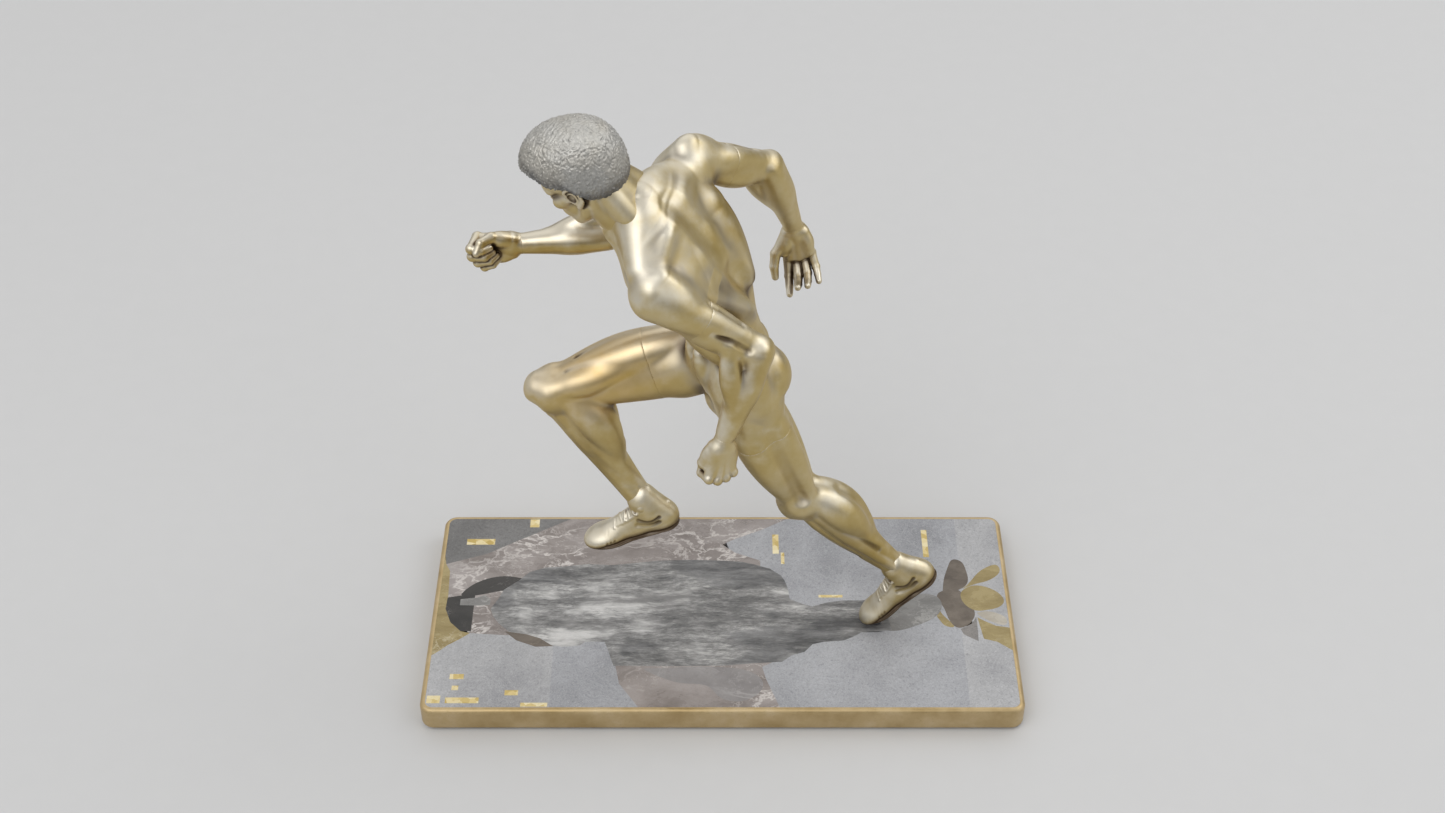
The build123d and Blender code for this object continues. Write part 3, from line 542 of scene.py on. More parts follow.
def torso_shapes():
    sh = [
        # ribcage and belly core
        ell(C(0, 0, 0), (31.5, 22.0, 36.0), R=CHEST, k=5),
        ell(C(0, -1, 16), (33.5, 18.5, 22.0), R=CHEST, k=6),
        ell(lerp(C(0, 0, -30), B(0, 0, 22), 0.5) + V(0.5, 0, 0), (26.0, 17.5, 26.0), R=PELV, k=8),
        ell(B(0, 1, 4), (31.0, 19.0, 21.0), R=PELV, k=8),
        # shoulder girdle: upper trapezius slopes
        cone(C(-8, -4, 38), C(-33, -5, 24), 8.0, 7.0, k=7),
        cone(C(8, -4, 38), SHO_R + V(-2, -8, 2), 8.0, 7.5, k=7),
        # neck root
        cone(C(0, -3, 28), C(0, 1, 38), 15.0, 13.0, k=8),
    ]
    for s in (-1, 1):
        S = SHO_L if s < 0 else SHO_R
        sh += [
            # latissimus: sweep from armpit to the loin
            belly(lerp(S, C(26 * s, -4, 8), 0.72), C(10 * s, -15, -40), 8.0, 12.0, 5.0, pk=0.35, k=9, flat=0.62, n=C_FR * 0.55 + SHO_SIDE * s * 0.8),
            belly(lerp(S, C(30 * s, -2, 6), 0.8), C(22 * s, -3, -32), 7.0, 9.0, 4.0, pk=0.35, k=8),
            # scapula with its muscles: infraspinatus, teres, spine ridge
            belly(C(9 * s, -18.5, 20), lerp(S, C(30 * s, -12, 18), 0.3) + C_FR * -2, 5.0, 9.0, 5.0, pk=0.45, k=7, flat=0.62, n=C_FR),
            belly(C(14 * s, -18.0, 2), lerp(S, C(30 * s, -10, 12), 0.35) + C_FR * -1, 4.6, 9.0, 5.0, pk=0.45, k=5.5, flat=0.7, n=C_FR),
            belly(C(17 * s, -16.0, -8), lerp(S, C(32 * s, -8, 8), 0.35), 4.0, 8.0, 4.6, pk=0.5, k=5, flat=0.75, n=C_FR),
            path(smooth([C(7 * s, -20.5, 26), C(18 * s, -21.5, 27), lerp(S, C(30 * s, -14, 26), 0.45), S + C_UP * 8 - C_FR * 5]), [1.8, 2.0, 2.1, 2.2, 2.2, 2.3, 2.4, 2.5, 2.6, 2.8, 3.0, 3.2, 3.2], k=6.5),
            # trapezius: upper and lower fibres
            belly(C(3 * s, -12, 44), lerp(S, C(20 * s, -10, 34), 0.45) + C_UP * 4, 6.0, 8.0, 4.0, pk=0.4, k=8),
            belly(C(6 * s, -17.5, 32), C(3 * s, -18.0, -12), 5.0, 8.0, 3.6, pk=0.3, k=10, flat=0.6, n=C_FR),
            # erector columns
            belly(C(7.0 * s, -15.0, 4), B(7.0 * s, -15.0, 8), 4.0, 8.2, 5.0, pk=0.6, k=8),
            # pectoral
            belly(lerp(S, C(30 * s, 12, 20), 0.45), C(8 * s, 18.0, 6), 5.0, 9.8, 5.0, pk=0.55, k=4, flat=0.66, n=C_FR),
            belly(lerp(S, C(30 * s, 12, 16), 0.5), C(10 * s, 18.0, -4), 4.0, 8.6, 4.6, pk=0.5, k=3, flat=0.66, n=C_FR),
            # rectus abdominis blocks
            ell(C(6.4 * s, 18.6, -15), (5.8, 4.2, 5.6), R=CHEST, k=2.2),
            ell(C(6.4 * s, 17.6, -27), (5.8, 4.2, 5.6), R=CHEST, k=2.2),
            ell(lerp(C(6.2 * s, 16, -38), B(6.2 * s, 17, 20), 0.5), (5.6, 4.2, 6.0), R=PELV, k=2.2),
            belly(B(6 * s, 18, 18), B(4 * s, 17.5, -8), 4.6, 6.2, 3.6, pk=0.4, k=3),
            # external oblique and flank pad over the iliac crest
            belly(C(25 * s, 6, -18), B(25.5 * s, 4, 16), 5.0, 9.0, 5.5, pk=0.5, k=4.5, flat=0.72, n=SHO_SIDE),
            belly(B(28.0 * s, 6, 13), B(20.0 * s, -13, 15), 4.0, 6.0, 4.0, pk=0.5, k=3.2),
            # serratus fingers
            belly(C(29 * s, 4, 0), C(22 * s, 15, -7), 1.8, 3.6, 1.6, pk=0.5, k=2.0),
            belly(C(28 * s, 3, -8), C(22 * s, 14, -15), 1.8, 3.6, 1.6, pk=0.5, k=2.0),
            belly(C(26.5 * s, 2, -16), C(21 * s, 13, -23), 1.8, 3.4, 1.6, pk=0.5, k=2.0),
            # side of the hip: gluteus medius
            belly(B(26 * s, 1, 12), B(29 * s, -2, -12), 6.0, 9.0, 5.0, pk=0.45, k=4, flat=0.8, n=HIP_SIDE),
        ]
    # gluteus maximus
    sh += [
        belly(V(-8.0, 25, 292), V(9, 11, 228), 6.0, 11.0, 6.0, pk=0.4, k=13),
        belly(TR.P(-0.05, 0, -13), TR.P(0.80, 0, -7), 10.0, 14.5, 5.0, pk=0.35, k=9),
        ell(B(-14.5, -13.5, -5), (13.6, 13.0, 17.0), R=PELV, k=4.5),
        ell(B(-18.0, -8, -15), (12.0, 11.5, 12.0), R=PELV, k=4),
        ell(B(14.0, -12.5, -3), (13.0, 12.5, 16.0), R=PELV, k=3.6),
        ell(B(18.0, -8, -12), (12.0, 12.0, 13.0), R=PELV, k=4),
        # smooth, plain groin
        ell(B(0, 13, -22), (9.0, 8.5, 10.0), R=PELV, k=5),
        ell(B(0, 0, -22), (14.0, 14.0, 8.0), R=PELV, k=6),
        # spine furrow, cleft
        path(smooth([C(0, -24.6, 30), C(0, -24.6, 8), C(0, -22.4, -18), B(0, -23.0, 24), B(0, -24.0, 10)], 4), [1.6] * 17, k=7.0, op="cut"),
        path(smooth([B(0, -29.0, 4), B(0, -33.0, -6), B(0, -30.0, -16), B(0, -20.0, -24)], 4), [2.0] * 13, k=3.6, op="carve"),
        # fold under each buttock
        path(smooth([B(-4, -25, -21), B(-16, -24, -22.5), B(-27, -15, -19)], 4), [1.2] * 9, k=4.5, op="cut"),
        path(smooth([B(4, -24, -19), B(16, -23, -19), B(26, -14, -15)], 4), [1.2] * 9, k=4.5, op="cut"),
    # midline of the belly
        path(smooth([C(0, 23.6, -4), C(0, 22.6, -26), B(0, 22.6, 16)], 4), [1.0] * 9, k=3.0, op="cut"),
        path(smooth([C(0, 25.5, 22), C(0, 26.6, 8), C(0, 25.0, -4)], 4), [1.4] * 9, k=3.6, op="cut"),
    ]
    return sh


def smoothstep(a, b, x):
    t = np.clip((x - a) / (b - a), 0, 1)
    return t * t * (3 - 2 * t)


# head frame: side (his right), front, up
HC = V(-74.0, 0.0, 330.5)
H_UP = un(V(-0.54, 0.02, 0.84))
H_FR = V(-0.84, 0.24, -0.54)
H_FR = un(H_FR - H_UP * np.dot(H_FR, H_UP))
H_SD = np.cross(H_UP, H_FR)
H_SD = H_SD if H_SD[1] > 0 else -H_SD
HEAD = np.array([H_SD, H_FR, H_UP])


def H(s, f, u):
    return HC + H_SD * s + H_FR * f + H_UP * u


NECK_LOW = C(0, 1.5, 36)
NECK_TOP = H(0, -7, -13)


def head_shapes():
    nd = un(NECK_TOP - NECK_LOW)
    sh = [
        cone(NECK_LOW, NECK_TOP, 14.0, 12.6, k=5),
        cone(H(0, -10, -10), lerp(NECK_LOW, C(0, -10, 30), 0.8), 10.5, 10.0, k=5),
        ell(H(0, -4.0, 6.0), (16.8, 20.4, 18.6), R=HEAD, k=4),
        ell(H(0, 8.0, 8.5), (13.6, 9.6, 10.0), R=HEAD, k=4),
        ell(H(0, 6.0, -10.5), (12.6, 12.6, 13.0), R=HEAD, k=4),
        ell(H(0, 14.6, -20.6), (5.6, 4.6, 4.4), R=HEAD, k=5),
        path(smooth([H(-13.0, -1.5, -12.0), H(-11.4, 3.0, -17.5), H(-6.0, 11.0, -21.8)]), [3.2] * 9, k=3.5),
        path(smooth([H(13.0, -1.5, -12.0), H(11.4, 3.0, -17.5), H(6.0, 11.0, -21.8)]), [3.2] * 9, k=3.5),
        path(smooth([H(-10.5, 12.4, 2.8), H(-5.5, 15.8, 3.6), H(0, 16.2, 2.8), H(5.5, 15.8, 3.6), H(10.5, 12.4, 2.8)]), [2.3] * 17, k=3.2),
    ]
    for s in (-1, 1):
        sh += [
            ell(H(9.4 * s, 11.4, -5.6), (4.6, 4.6, 3.8), R=HEAD, k=3.5),
            path([H(9.4 * s, 11.4, -5.2), H(14.8 * s, 3.0, -3.2)], [2.6, 2.0], k=3.5),
            # eye: socket, ball and lids
            ell(H(6.2 * s, 17.6, -0.9), (4.6, 3.4, 2.9), R=HEAD, k=2.2, op="carve"),
            ell(H(6.2 * s, 12.9, -1.0), (3.7, 3.7, 3.7), R=HEAD, k=0.8),
            path(smooth([H(3.2 * s, 15.4, -1.5), H(4.8 * s, 16.5, 0.6), H(6.8 * s, 16.5, 0.9), H(9.4 * s, 14.4, -1.2)]), [0.75] * 13, k=1.0),
            path(smooth([H(3.4 * s, 15.4, -1.9), H(5.2 * s, 16.1, -2.9), H(7.2 * s, 15.9, -2.9), H(9.4 * s, 14.2, -1.5)]), [0.6] * 13, k=1.0),
            # cheek and corner of the mouth
            ell(H(5.8 * s, 13.2, -14.6), (3.0, 3.2, 3.4), R=HEAD, k=2.5),
            # ear
            ell(H(16.4 * s, -2.2, -2.2), (2.2, 4.2, 6.2), R=HEAD, k=1.6),
            path(smooth([H(17.0 * s, 1.0, -2.0), H(18.2 * s, 0.6, 3.2), H(18.8 * s, -3.6, 4.4), H(19.0 * s, -6.4, 0.8), H(18.2 * s, -5.0, -5.0), H(16.8 * s, -1.2, -8.2)]), [0.95] * 16 + [1.3, 1.4, 1.5, 1.6, 1.7], k=0.7),
            path(smooth([H(17.6 * s, -1.4, 2.0), H(18.2 * s, -4.2, 0.4), H(17.8 * s, -3.2, -3.6)]), [0.7] * 9, k=0.6),
            ell(H(18.2 * s, -0.9, -1.8), (1.5, 1.9, 2.6), R=HEAD, k=0.9, op="carve"),
            ell(H(16.8 * s, 1.7, -2.4), (1.0, 1.1, 1.5), R=HEAD, k=0.8),
            # neck strap muscles
            belly(H(12.6 * s, -7.0, -9.0), lerp(C(4 * s, 14, 34), NECK_LOW, 0.1), 3.2, 4.8, 2.4, pk=0.5, k=2.4),
            belly(H(8.0 * s, -14.0, -8.0), C(14 * s, -10, 30), 4.6, 6.4, 5.0, pk=0.5, k=4),
        ]
    sh += [
        # nose
        path(smooth([H(0, 16.8, 1.6), H(0, 18.6, -2.8), H(0, 20.8, -7.4)]), [1.6, 1.6, 1.55, 1.55, 1.6, 1.7, 1.9, 2.1, 2.2], k=1.8),
        ell(H(2.5, 18.2, -8.8), (1.9, 2.4, 1.7), R=HEAD, k=1.2),
        ell(H(-2.5, 18.2, -8.8), (1.9, 2.4, 1.7), R=HEAD, k=1.2),
        ell(H(1.6, 19.2, -10.3), (0.8, 1.1, 0.7), R=HEAD, k=0.7, op="carve"),
        ell(H(-1.6, 19.2, -10.3), (0.8, 1.1, 0.7), R=HEAD, k=0.7, op="carve"),
        # mouth
        ell(H(0, 13.8, -13.8), (6.4, 4.2, 4.6), R=HEAD, k=3),
        path(smooth([H(-4.8, 16.4, -14.3), H(-1.5, 18.4, -13.5), H(0, 18.2, -13.8), H(1.5, 18.4, -13.5), H(4.8, 16.4, -14.3)]), [0.7, 0.8, 0.9, 1.0, 1.05, 1.05, 1.0, 1.0, 1.0, 1.0, 1.0, 1.05, 1.05, 1.0, 0.9, 0.8, 0.7], k=1.0),
        path(smooth([H(-4.4, 16.2, -15.4), H(-1.8, 17.8, -16.4), H(0, 18.1, -16.6), H(1.8, 17.8, -16.4), H(4.4, 16.2, -15.4)]), [0.7, 0.85, 1.0, 1.15, 1.2, 1.25, 1.3, 1.3, 1.3, 1.3, 1.3, 1.25, 1.2, 1.15, 1.0, 0.85, 0.7], k=1.0),
        path(smooth([H(-5.2, 16.4, -14.9), H(0, 19.3, -15.1), H(5.2, 16.4, -14.9)]), [0.35] * 9, k=0.7, op="cut"),
        path(smooth([H(-3.2, 18.4, -18.7), H(0, 19.4, -18.9), H(3.2, 18.4, -18.7)]), [0.7] * 9, k=2.0, op="cut"),
    ]
    return sh


def hand_shapes(W, along, dorsal, thumb, curls, thumb_pose, sc=1.0, fat=1.0):
    """Palm and five digits. curls: three bend angles per finger, index first."""
    a = un(along)
    d = un(V(dorsal) - a * np.dot(dorsal, a))
    s = np.cross(a, d)
    s = s if np.dot(s, thumb) > 0 else -s
    R = np.array([s, d, a])

    def at(x, y, z):
        return W + (s * x + d * y + a * z) * sc
    mcp = [at(6.9, 1.2, 19.0), at(2.4, 1.9, 20.0), at(-2.2, 1.6, 19.0), at(-6.6, 0.6, 17.2)]
    seg = [(9.6, 5.8, 4.8), (10.4, 6.6, 5.0), (9.6, 6.2, 5.0), (7.8, 4.6, 4.4)]
    rad = [(2.7, 2.45, 2.2, 1.8), (2.75, 2.5, 2.25, 1.85), (2.65, 2.4, 2.15, 1.8), (2.4, 2.15, 1.95, 1.65)]
    out = [
        ell(at(0, 0, 1.5), (6.6 * sc, 4.9 * sc, 6.0 * sc), R=R, k=3),
        cone(at(3.0, 0, 3), at(5.4, 0.4, 16.5), 4.4 * sc, 3.7 * sc, k=3),
        cone(at(-2.8, 0, 3), at(-5.0, 0, 15.5), 4.3 * sc, 3.5 * sc, k=3),
        cone(at(0, -0.2, 3), at(0, 0.6, 17.5), 4.2 * sc, 3.6 * sc, k=3),
        belly(at(4.6, -2.0, 1.5), at(7.6, -2.6, 12.5), 3.0 * sc, 4.4 * sc, 2.8 * sc, k=2),
        belly(at(-5.4, -1.6, 2.0), at(-6.2, -1.6, 13.5), 2.6 * sc, 3.7 * sc, 2.4 * sc, k=2),
    ]
    for i in range(4):
        p = mcp[i]
        ang = 0.0
        spread = (0.10, 0.02, -0.07, -0.17)[i]
        pts, rs = [p], [rad[i][0] * sc * fat]
        for j in range(3):
            ang += math.radians(curls[i][j])
            dirn = (a * math.cos(spread) + s * math.sin(spread)) * math.cos(ang) - d * math.sin(ang)
            p = p + dirn * seg[i][j] * sc
            pts.append(p)
            rs.append(rad[i][j + 1] * sc * fat)
        for j in range(3):
            out.append(cone(pts[j], pts[j + 1], rs[j], rs[j + 1], k=0.5 if j == 0 else 0.35))
        out.append(ell(pts[0] + d * 0.9 * sc, (2.5 * sc, 2.2 * sc, 2.8 * sc), R=R, k=1.0))
        out.append(ell(pts[1], (rs[1] * 1.1,) * 3, k=0.6))
        if i < 3:   # tendon ridge on the back of the hand
            out.append(cone(at(1.2 - i, 3.6, 4), mcp[i] + d * 1.6 * sc, 0.6 * sc, 0.8 * sc, k=1.4))
    # thumb
    t0 = at(5.6, -1.8, 4.5)
    t1 = t0 + (s * thumb_pose[0][0] + d * thumb_pose[0][1] + a * thumb_pose[0][2]) * sc
    t2 = t1 + (s * thumb_pose[1][0] + d * thumb_pose[1][1] + a * thumb_pose[1][2]) * sc
    t3 = t2 + (s * thumb_pose[2][0] + d * thumb_pose[2][1] + a * thumb_pose[2][2]) * sc
    out += [cone(t0, t1, 3.5 * sc, 2.9 * sc, k=1.6), cone(t1, t2, 2.9 * sc, 2.5 * sc, k=0.8), cone(t2, t3, 2.5 * sc, 2.0 * sc, k=0.6)]
    return out


FISTED = [(78, 88, 52), (82, 92, 55), (86, 92, 55), (88, 92, 50)]
HAND_L = hand_shapes(WRI_L + V(0, 0, -1), V(-0.06, -0.20, -0.98), V(0.35, -0.92, 0.15), V(-1, -0.3, 0), FISTED, [(3.0, -2.4, 7.5), (-2.0, -4.8, 4.6), (-5.2, -2.6, 0.5)], sc=1.04, fat=1.08)
HAND_F = hand_shapes(WRI_F, V(-0.985, -0.08, -0.12), V(-0.10, 0.97, 0.05), V(0, 0.05, 1), [(70, 86, 50), (76, 88, 52), (82, 90, 52), (86, 90, 48)], [(4.0, -2.2, 6.5), (0.5, -4.0, 5.6), (-3.6, -3.4, 3.0)], sc=1.04, fat=1.08)
HAND_B = hand_shapes(WRI_B, V(0.20, -0.10, -0.98), V(0.05, 0.99, -0.12), V(-1, 0, 0), [(22, 22, 12), (44, 40, 20), (40, 36, 18), (26, 24, 12)], [(6.5, -2.8, 6.6), (2.0, -2.6, 6.4), (0.4, -1.2, 6.0)], sc=1.06)


def shoe_frame(ank, t, n):
    t = un(V(t))
    n = un(V(n) - t * np.dot(n, t))
    y = np.cross(n, t)
    y = y if y[1] > 0 else -y
    o = ank - n * 17.5 - t * 15.0
    return np.array([t, y, n]), o


def shoe_shapes(fr, shank, bend=0.0):
    R, o = fr
    t, y, n = R

    def X(a, b, c):
        lift = bend * max(0.0, a - 40.0) ** 2
        return o + t * a + y * b + n * (c + lift)
    sh = [
        ell(X(10.5, 0, 9.0), (10.4, 7.4, 9.6), R=R, k=3),
        ell(X(9.0, 0, 4.6), (8.8, 7.6, 4.8), R=R, k=3),
        ell(X(27, -0.2, 6.6), (20.0, 7.8, 7.2), R=R, k=4),
        cone(X(15.5, 0, 16.5), X(38, 0.2, 7.4), 6.6, 5.0, k=5),
        ell(X(44.0, 0.6, 5.0), (13.6, 10.1, 5.8), R=R, k=4),
        ell(X(50.0, 0.4, 4.2), (8.8, 8.4, 4.6), R=R, k=3),
        # collar about the ankle
        cone(X(13.6, 0, 15.0), shank.P(0.93), 8.2, 7.9, k=4),
        cone(X(5.2, 0, 10.0), shank.P(0.90, 0, -5.0), 5.4, 4.6, k=6),
        # sole and welt
        belly(X(7.6, 0, 1.5), X(48.0, 0.4, 1.5), 7.6, 8.4, 8.0, pk=0.75, k=0.6, flat=0.235, n=n),
        ell(X(41.0, 0.5, 1.6), (14.0, 10.0, 2.0), R=R, k=1.2),
        path(smooth([X(1.2, 0, 3.1), X(5.0, 6.7, 3.1), X(16, 7.4, 3.1), X(28, 7.0, 3.1), X(40, 9.6, 3.1), X(50, 8.0, 3.2), X(57.0, 1.4, 3.4)]), [0.5] * 25, k=0.8, op="cut"),
        path(smooth([X(1.2, 0, 3.1), X(5.0, -6.7, 3.1), X(16, -7.4, 3.1), X(28, -7.0, 3.1), X(40, -8.8, 3.1), X(50, -7.4, 3.2), X(57.0, -0.6, 3.4)]), [0.5] * 25, k=0.8, op="cut"),
        # tongue and throat
        belly(X(20.0, 0, 19.4), X(37.5, 0.2, 11.6), 2.4, 3.4, 2.2, pk=0.5, k=1.4, flat=0.6, n=n),
        path(smooth([X(19.0, -4.6, 19.8), X(28, -4.8, 15.4), X(38.5, -3.2, 12.0)]), [0.85] * 9, k=0.7),
        path(smooth([X(19.0, 4.6, 19.8), X(28, 4.8, 15.4), X(38.5, 3.2, 12.0)]), [0.85] * 9, k=0.7),
        # toe cap seam and heel stay
        path(smooth([X(45.5, -8.8, 3.6), X(43.6, -5.0, 8.9), X(42.8, 0.4, 10.3), X(43.6, 5.8, 8.9), X(45.5, 9.8, 3.6)]), [0.35] * 17, k=0.7, op="cut"),
        path(smooth([X(0.8, 0, 4.0), X(0.2, 0, 10), X(1.6, 0, 17)]), [0.9] * 9, k=1.0),
    ]
    for i in range(5):
        a = 20.4 + 3.9 * i
        h = 21.4 - 1.86 * i
        sg = 1 if i % 2 else -1
        sh.append(path(smooth([X(a - 1.0 * sg, -4.7, h - 1.9), X(a, 0, h + 0.45), X(a + 1.0 * sg, 4.7, h - 1.9)]), [0.85] * 9, k=0.4))
        sh.append(path(smooth([X(a + 1.9, -4.6, h - 2.8), X(a + 1.9, 0, h - 0.5), X(a + 1.9, 4.6, h - 2.8)]), [0.65] * 9, k=0.4))
    for a, dep in ((39.5, 1.0), (41.6, 0.8), (37.2, 0.7)):
        sh.append(path(smooth([X(a + 2.5, -9.0, 5.0), X(a, -4.8, 9.8), X(a - 1.2, 0, 11.8), X(a, 4.8, 9.8), X(a + 2.5, 9.0, 5.0)]), [0.4] * 17, k=0.5 + dep * 0.3, op="cut"))
    for b_, q in ((-1, 0.0), (1, 0.0)):
        sh.append(path(smooth([X(9.0, 7.0 * b_, 14.0), X(15.5, 7.6 * b_, 12.6), X(21.0, 6.4 * b_, 14.4)]), [0.4] * 9, k=1.5, op="cut"))
        sh.append(path(smooth([X(10.0, 7.4 * b_, 10.6), X(16.5, 7.9 * b_, 9.6), X(23.0, 7.0 * b_, 11.6)]), [0.4] * 9, k=1.4, op="cut"))
    # bow
    sh.append(path(smooth([X(19.6, 0, 22.6), X(18.6, -3.4, 22.2), X(20.6, -6.6, 19.6), X(22.6, -4.2, 20.6), X(20.0, 0, 22.8)], 4), [0.8] * 17, k=0.4))
    sh.append(path(smooth([X(19.6, 0, 22.6), X(18.6, 3.4, 22.2), X(20.6, 6.6, 19.6), X(22.6, 4.2, 20.6), X(20.0, 0, 22.8)], 4), [0.8] * 17, k=0.4))
    return sh


SHOE_L = shoe_frame(ANK_L, (-0.70, -0.05, -0.69), (-0.70, 0.0, 0.70))
SHOE_R = shoe_frame(ANK_R, (-0.945, -0.05, -0.31), (-0.31, 0.0, 0.95))


def hair_noise(p, f, seed):
    """Rounded curls: nearest random point in a jittered lattice."""
    q = p * f
    b = np.floor(q).astype(np.int64)
    best = np.full(len(p), 9.0)
    for dx in (-1, 0, 1):
        for dy in (-1, 0, 1):
            for dz in (-1, 0, 1):
                c = b + (dx, dy, dz)
                hsh = (c[:, 0] * 73856093) ^ (c[:, 1] * 19349663) ^ (c[:, 2] * 83492791) ^ seed
                j = np.stack([((hsh >> s) & 1023) / 1023.0 for s in (0, 7, 13)], 1)
                dd = ((q - c - j) ** 2).sum(1)
                best = np.minimum(best, dd)
    return np.sqrt(best)


def hairline(p):
    q = (p - HC) @ HEAD.T
    f, u = q[:, 1], q[:, 2]
    lim = np.interp(f, [-30, -15, -7.5, -4, 1.5, 5.0, 10.0, 15.0, 30], [-14, -13.5, -7.5, 5.0, 7.5, 9.5, 16.0, 18.6, 20.0])
    return (lim - u) * 0.75


def hair_shapes():
    out = [
        ell(H(0, -5.0, 9.0), (21.5, 26.0, 22.0), R=HEAD, k=4),
        ell(H(0, 4.0, 13.0), (18.5, 19.5, 17.5), R=HEAD, k=6),
        ell(H(0, -12.5, -1.0), (16.5, 15.5, 17.0), R=HEAD, k=6),
    ]
    out.append(Shape(hairline, H(0, 0, -10), 60, k=3.0, op="meet"))

    def curls(p):
        return 0.55 * hair_noise(p, 0.42, 11) * -1.0 + 0.5
    return out


# seams: point, direction into the limb
SEAM = {
    "head": (lerp(NECK_LOW, NECK_TOP, 0.30), un(NECK_TOP - NECK_LOW)),
    "hand_left": (WRI_L + FL.d * -2, FL.d), "hand_fore": (WRI_F + FF.d * -2, FF.d), "hand_back": (WRI_B + FB.d * -2, FB.d),
    "thigh_left": (TL.P(0.36), TL.d), "thigh_right": (TR.P(0.38), TR.d),
    "shank_left": (KNEE_L, un(TL.d + KL.d)), "shank_right": (KNEE_R, un(TR.d + KR.d)),
    "upper_arm_left": (UL.P(0.46), UL.d), "upper_arm_fore": (UF.P(0.42), UF.d), "upper_arm_back": (UB.P(0.46), UB.d),
    "forearm_left": (ELB_L, un(UL.d + FL.d)), "forearm_fore": (ELB_F, un(UF.d + FF.d)), "forearm_back": (ELB_B, un(UB.d + FB.d)),
}


# ------------------------------------------------------------ pieces and seams
ARM_L = arm_shapes(UL, FL, V(0.15, -0.15, 1.0), V(0, -1, 0))
ARM_F = arm_shapes(UF, FF, V(0.1, 0.3, 1.0), V(0.2, 1, 0.1))
ARM_B = arm_shapes(UB, FB, V(-0.35, 0.1, 1.0), V(0.2, 0.5, 0.8))
GROUPS = {
    "torso": torso_shapes(),
    "leg_left": thigh_shapes(TL, KL) + shank_shapes(TL, KL),
    "leg_right": thigh_shapes(TR, KR, 1.04) + [belly(TR.P(-0.05, 0, -13), TR.P(0.80, 0, -7), 10.0, 14.5, 5.0, pk=0.35, k=9)] + shank_shapes(TR, KR, 2.4),
    "arm_left": ARM_L + HAND_L, "arm_fore": ARM_F + HAND_F, "arm_back": ARM_B + HAND_B,
    "head": head_shapes(),
    "shoe_left": shoe_shapes(SHOE_L, KL, 0.004), "shoe_right": shoe_shapes(SHOE_R, KR),
    "hair": hair_shapes(),
}
JOIN = {   # limb group: seam, blend, depth of the blend behind the seam
    "leg_left": ("thigh_left", 9.0, 16.0), "leg_right": ("thigh_right", 9.0, 16.0),
    "arm_left": ("upper_arm_left", 7.5, 14.0), "arm_fore": ("upper_arm_fore", 6.5, 12.0), "arm_back": ("upper_arm_back", 6.5, 12.0),
    "head": ("head", 11.0, 7.0),
}


def past(seam, p):
    q, d = SEAM[seam]
    return (p - q) @ d


def joiner(parts, p):
    d = None
    for n, e in parts:
        if d is None:
            d = e
        elif n in JOIN:
            seam, k0, dep = JOIN[n]
            d = smin(d, e, 0.05 + k0 * smoothstep(0.0, dep, -past(seam, p)))
        else:
            d = np.minimum(d, e)
    return d


def tucked(seam, shrink=0.25):
    """The inner casting ends at the seam; stub makes it a little slimmer there than the one that laps it."""
    return lambda p: past(seam, p)


def lap(seam, by=2.0):
    return lambda p: -(past(seam, p) + by)


def stub(parts, p):
    """Joins the trunk with its limb stubs, each slimmed just inside its seam."""
    out = []
    for n, e in parts:
        if n in JOIN:
            e = e + 0.22 * smoothstep(-2.2, -0.9, past(JOIN[n][0], p))
        out.append((n, e))
    return joiner(out, p)


def cuffed(seam):
    def f(parts, p):
        return joiner(parts, p) + 0.16 * smoothstep(-1.6, -0.6, past(seam, p))
    return f


def new_object(name, P, Q, N=None, attrs=None):
    me = bpy.data.meshes.new(name)
    P = (np.asarray(P, float) + V(0, 0, TOP)) * 0.001
    me.vertices.add(len(P))
    me.vertices.foreach_set("co", P.astype(np.float32).ravel())
    me.loops.add(Q.size)
    me.loops.foreach_set("vertex_index", Q.astype(np.int32).ravel())
    me.polygons.add(len(Q))
    me.polygons.foreach_set("loop_start", np.arange(len(Q), dtype=np.int32) * Q.shape[1])
    me.polygons.foreach_set("loop_total", np.full(len(Q), Q.shape[1], np.int32))
    me.update(calc_edges=True)
    me.validate()
    me.polygons.foreach_set("use_smooth", np.ones(len(me.polygons), bool))
    for key, val in (attrs or {}).items():
        a = me.attributes.new(key, "FLOAT", "POINT")
        a.data.foreach_set("value", np.asarray(val, np.float32))
    if N is not None:
        me.normals_split_custom_set_from_vertices(N.astype(np.float32).tolist())
    me.update()
    o = bpy.data.objects.new(name, me)
    bpy.context.scene.collection.objects.link(o)
    return o


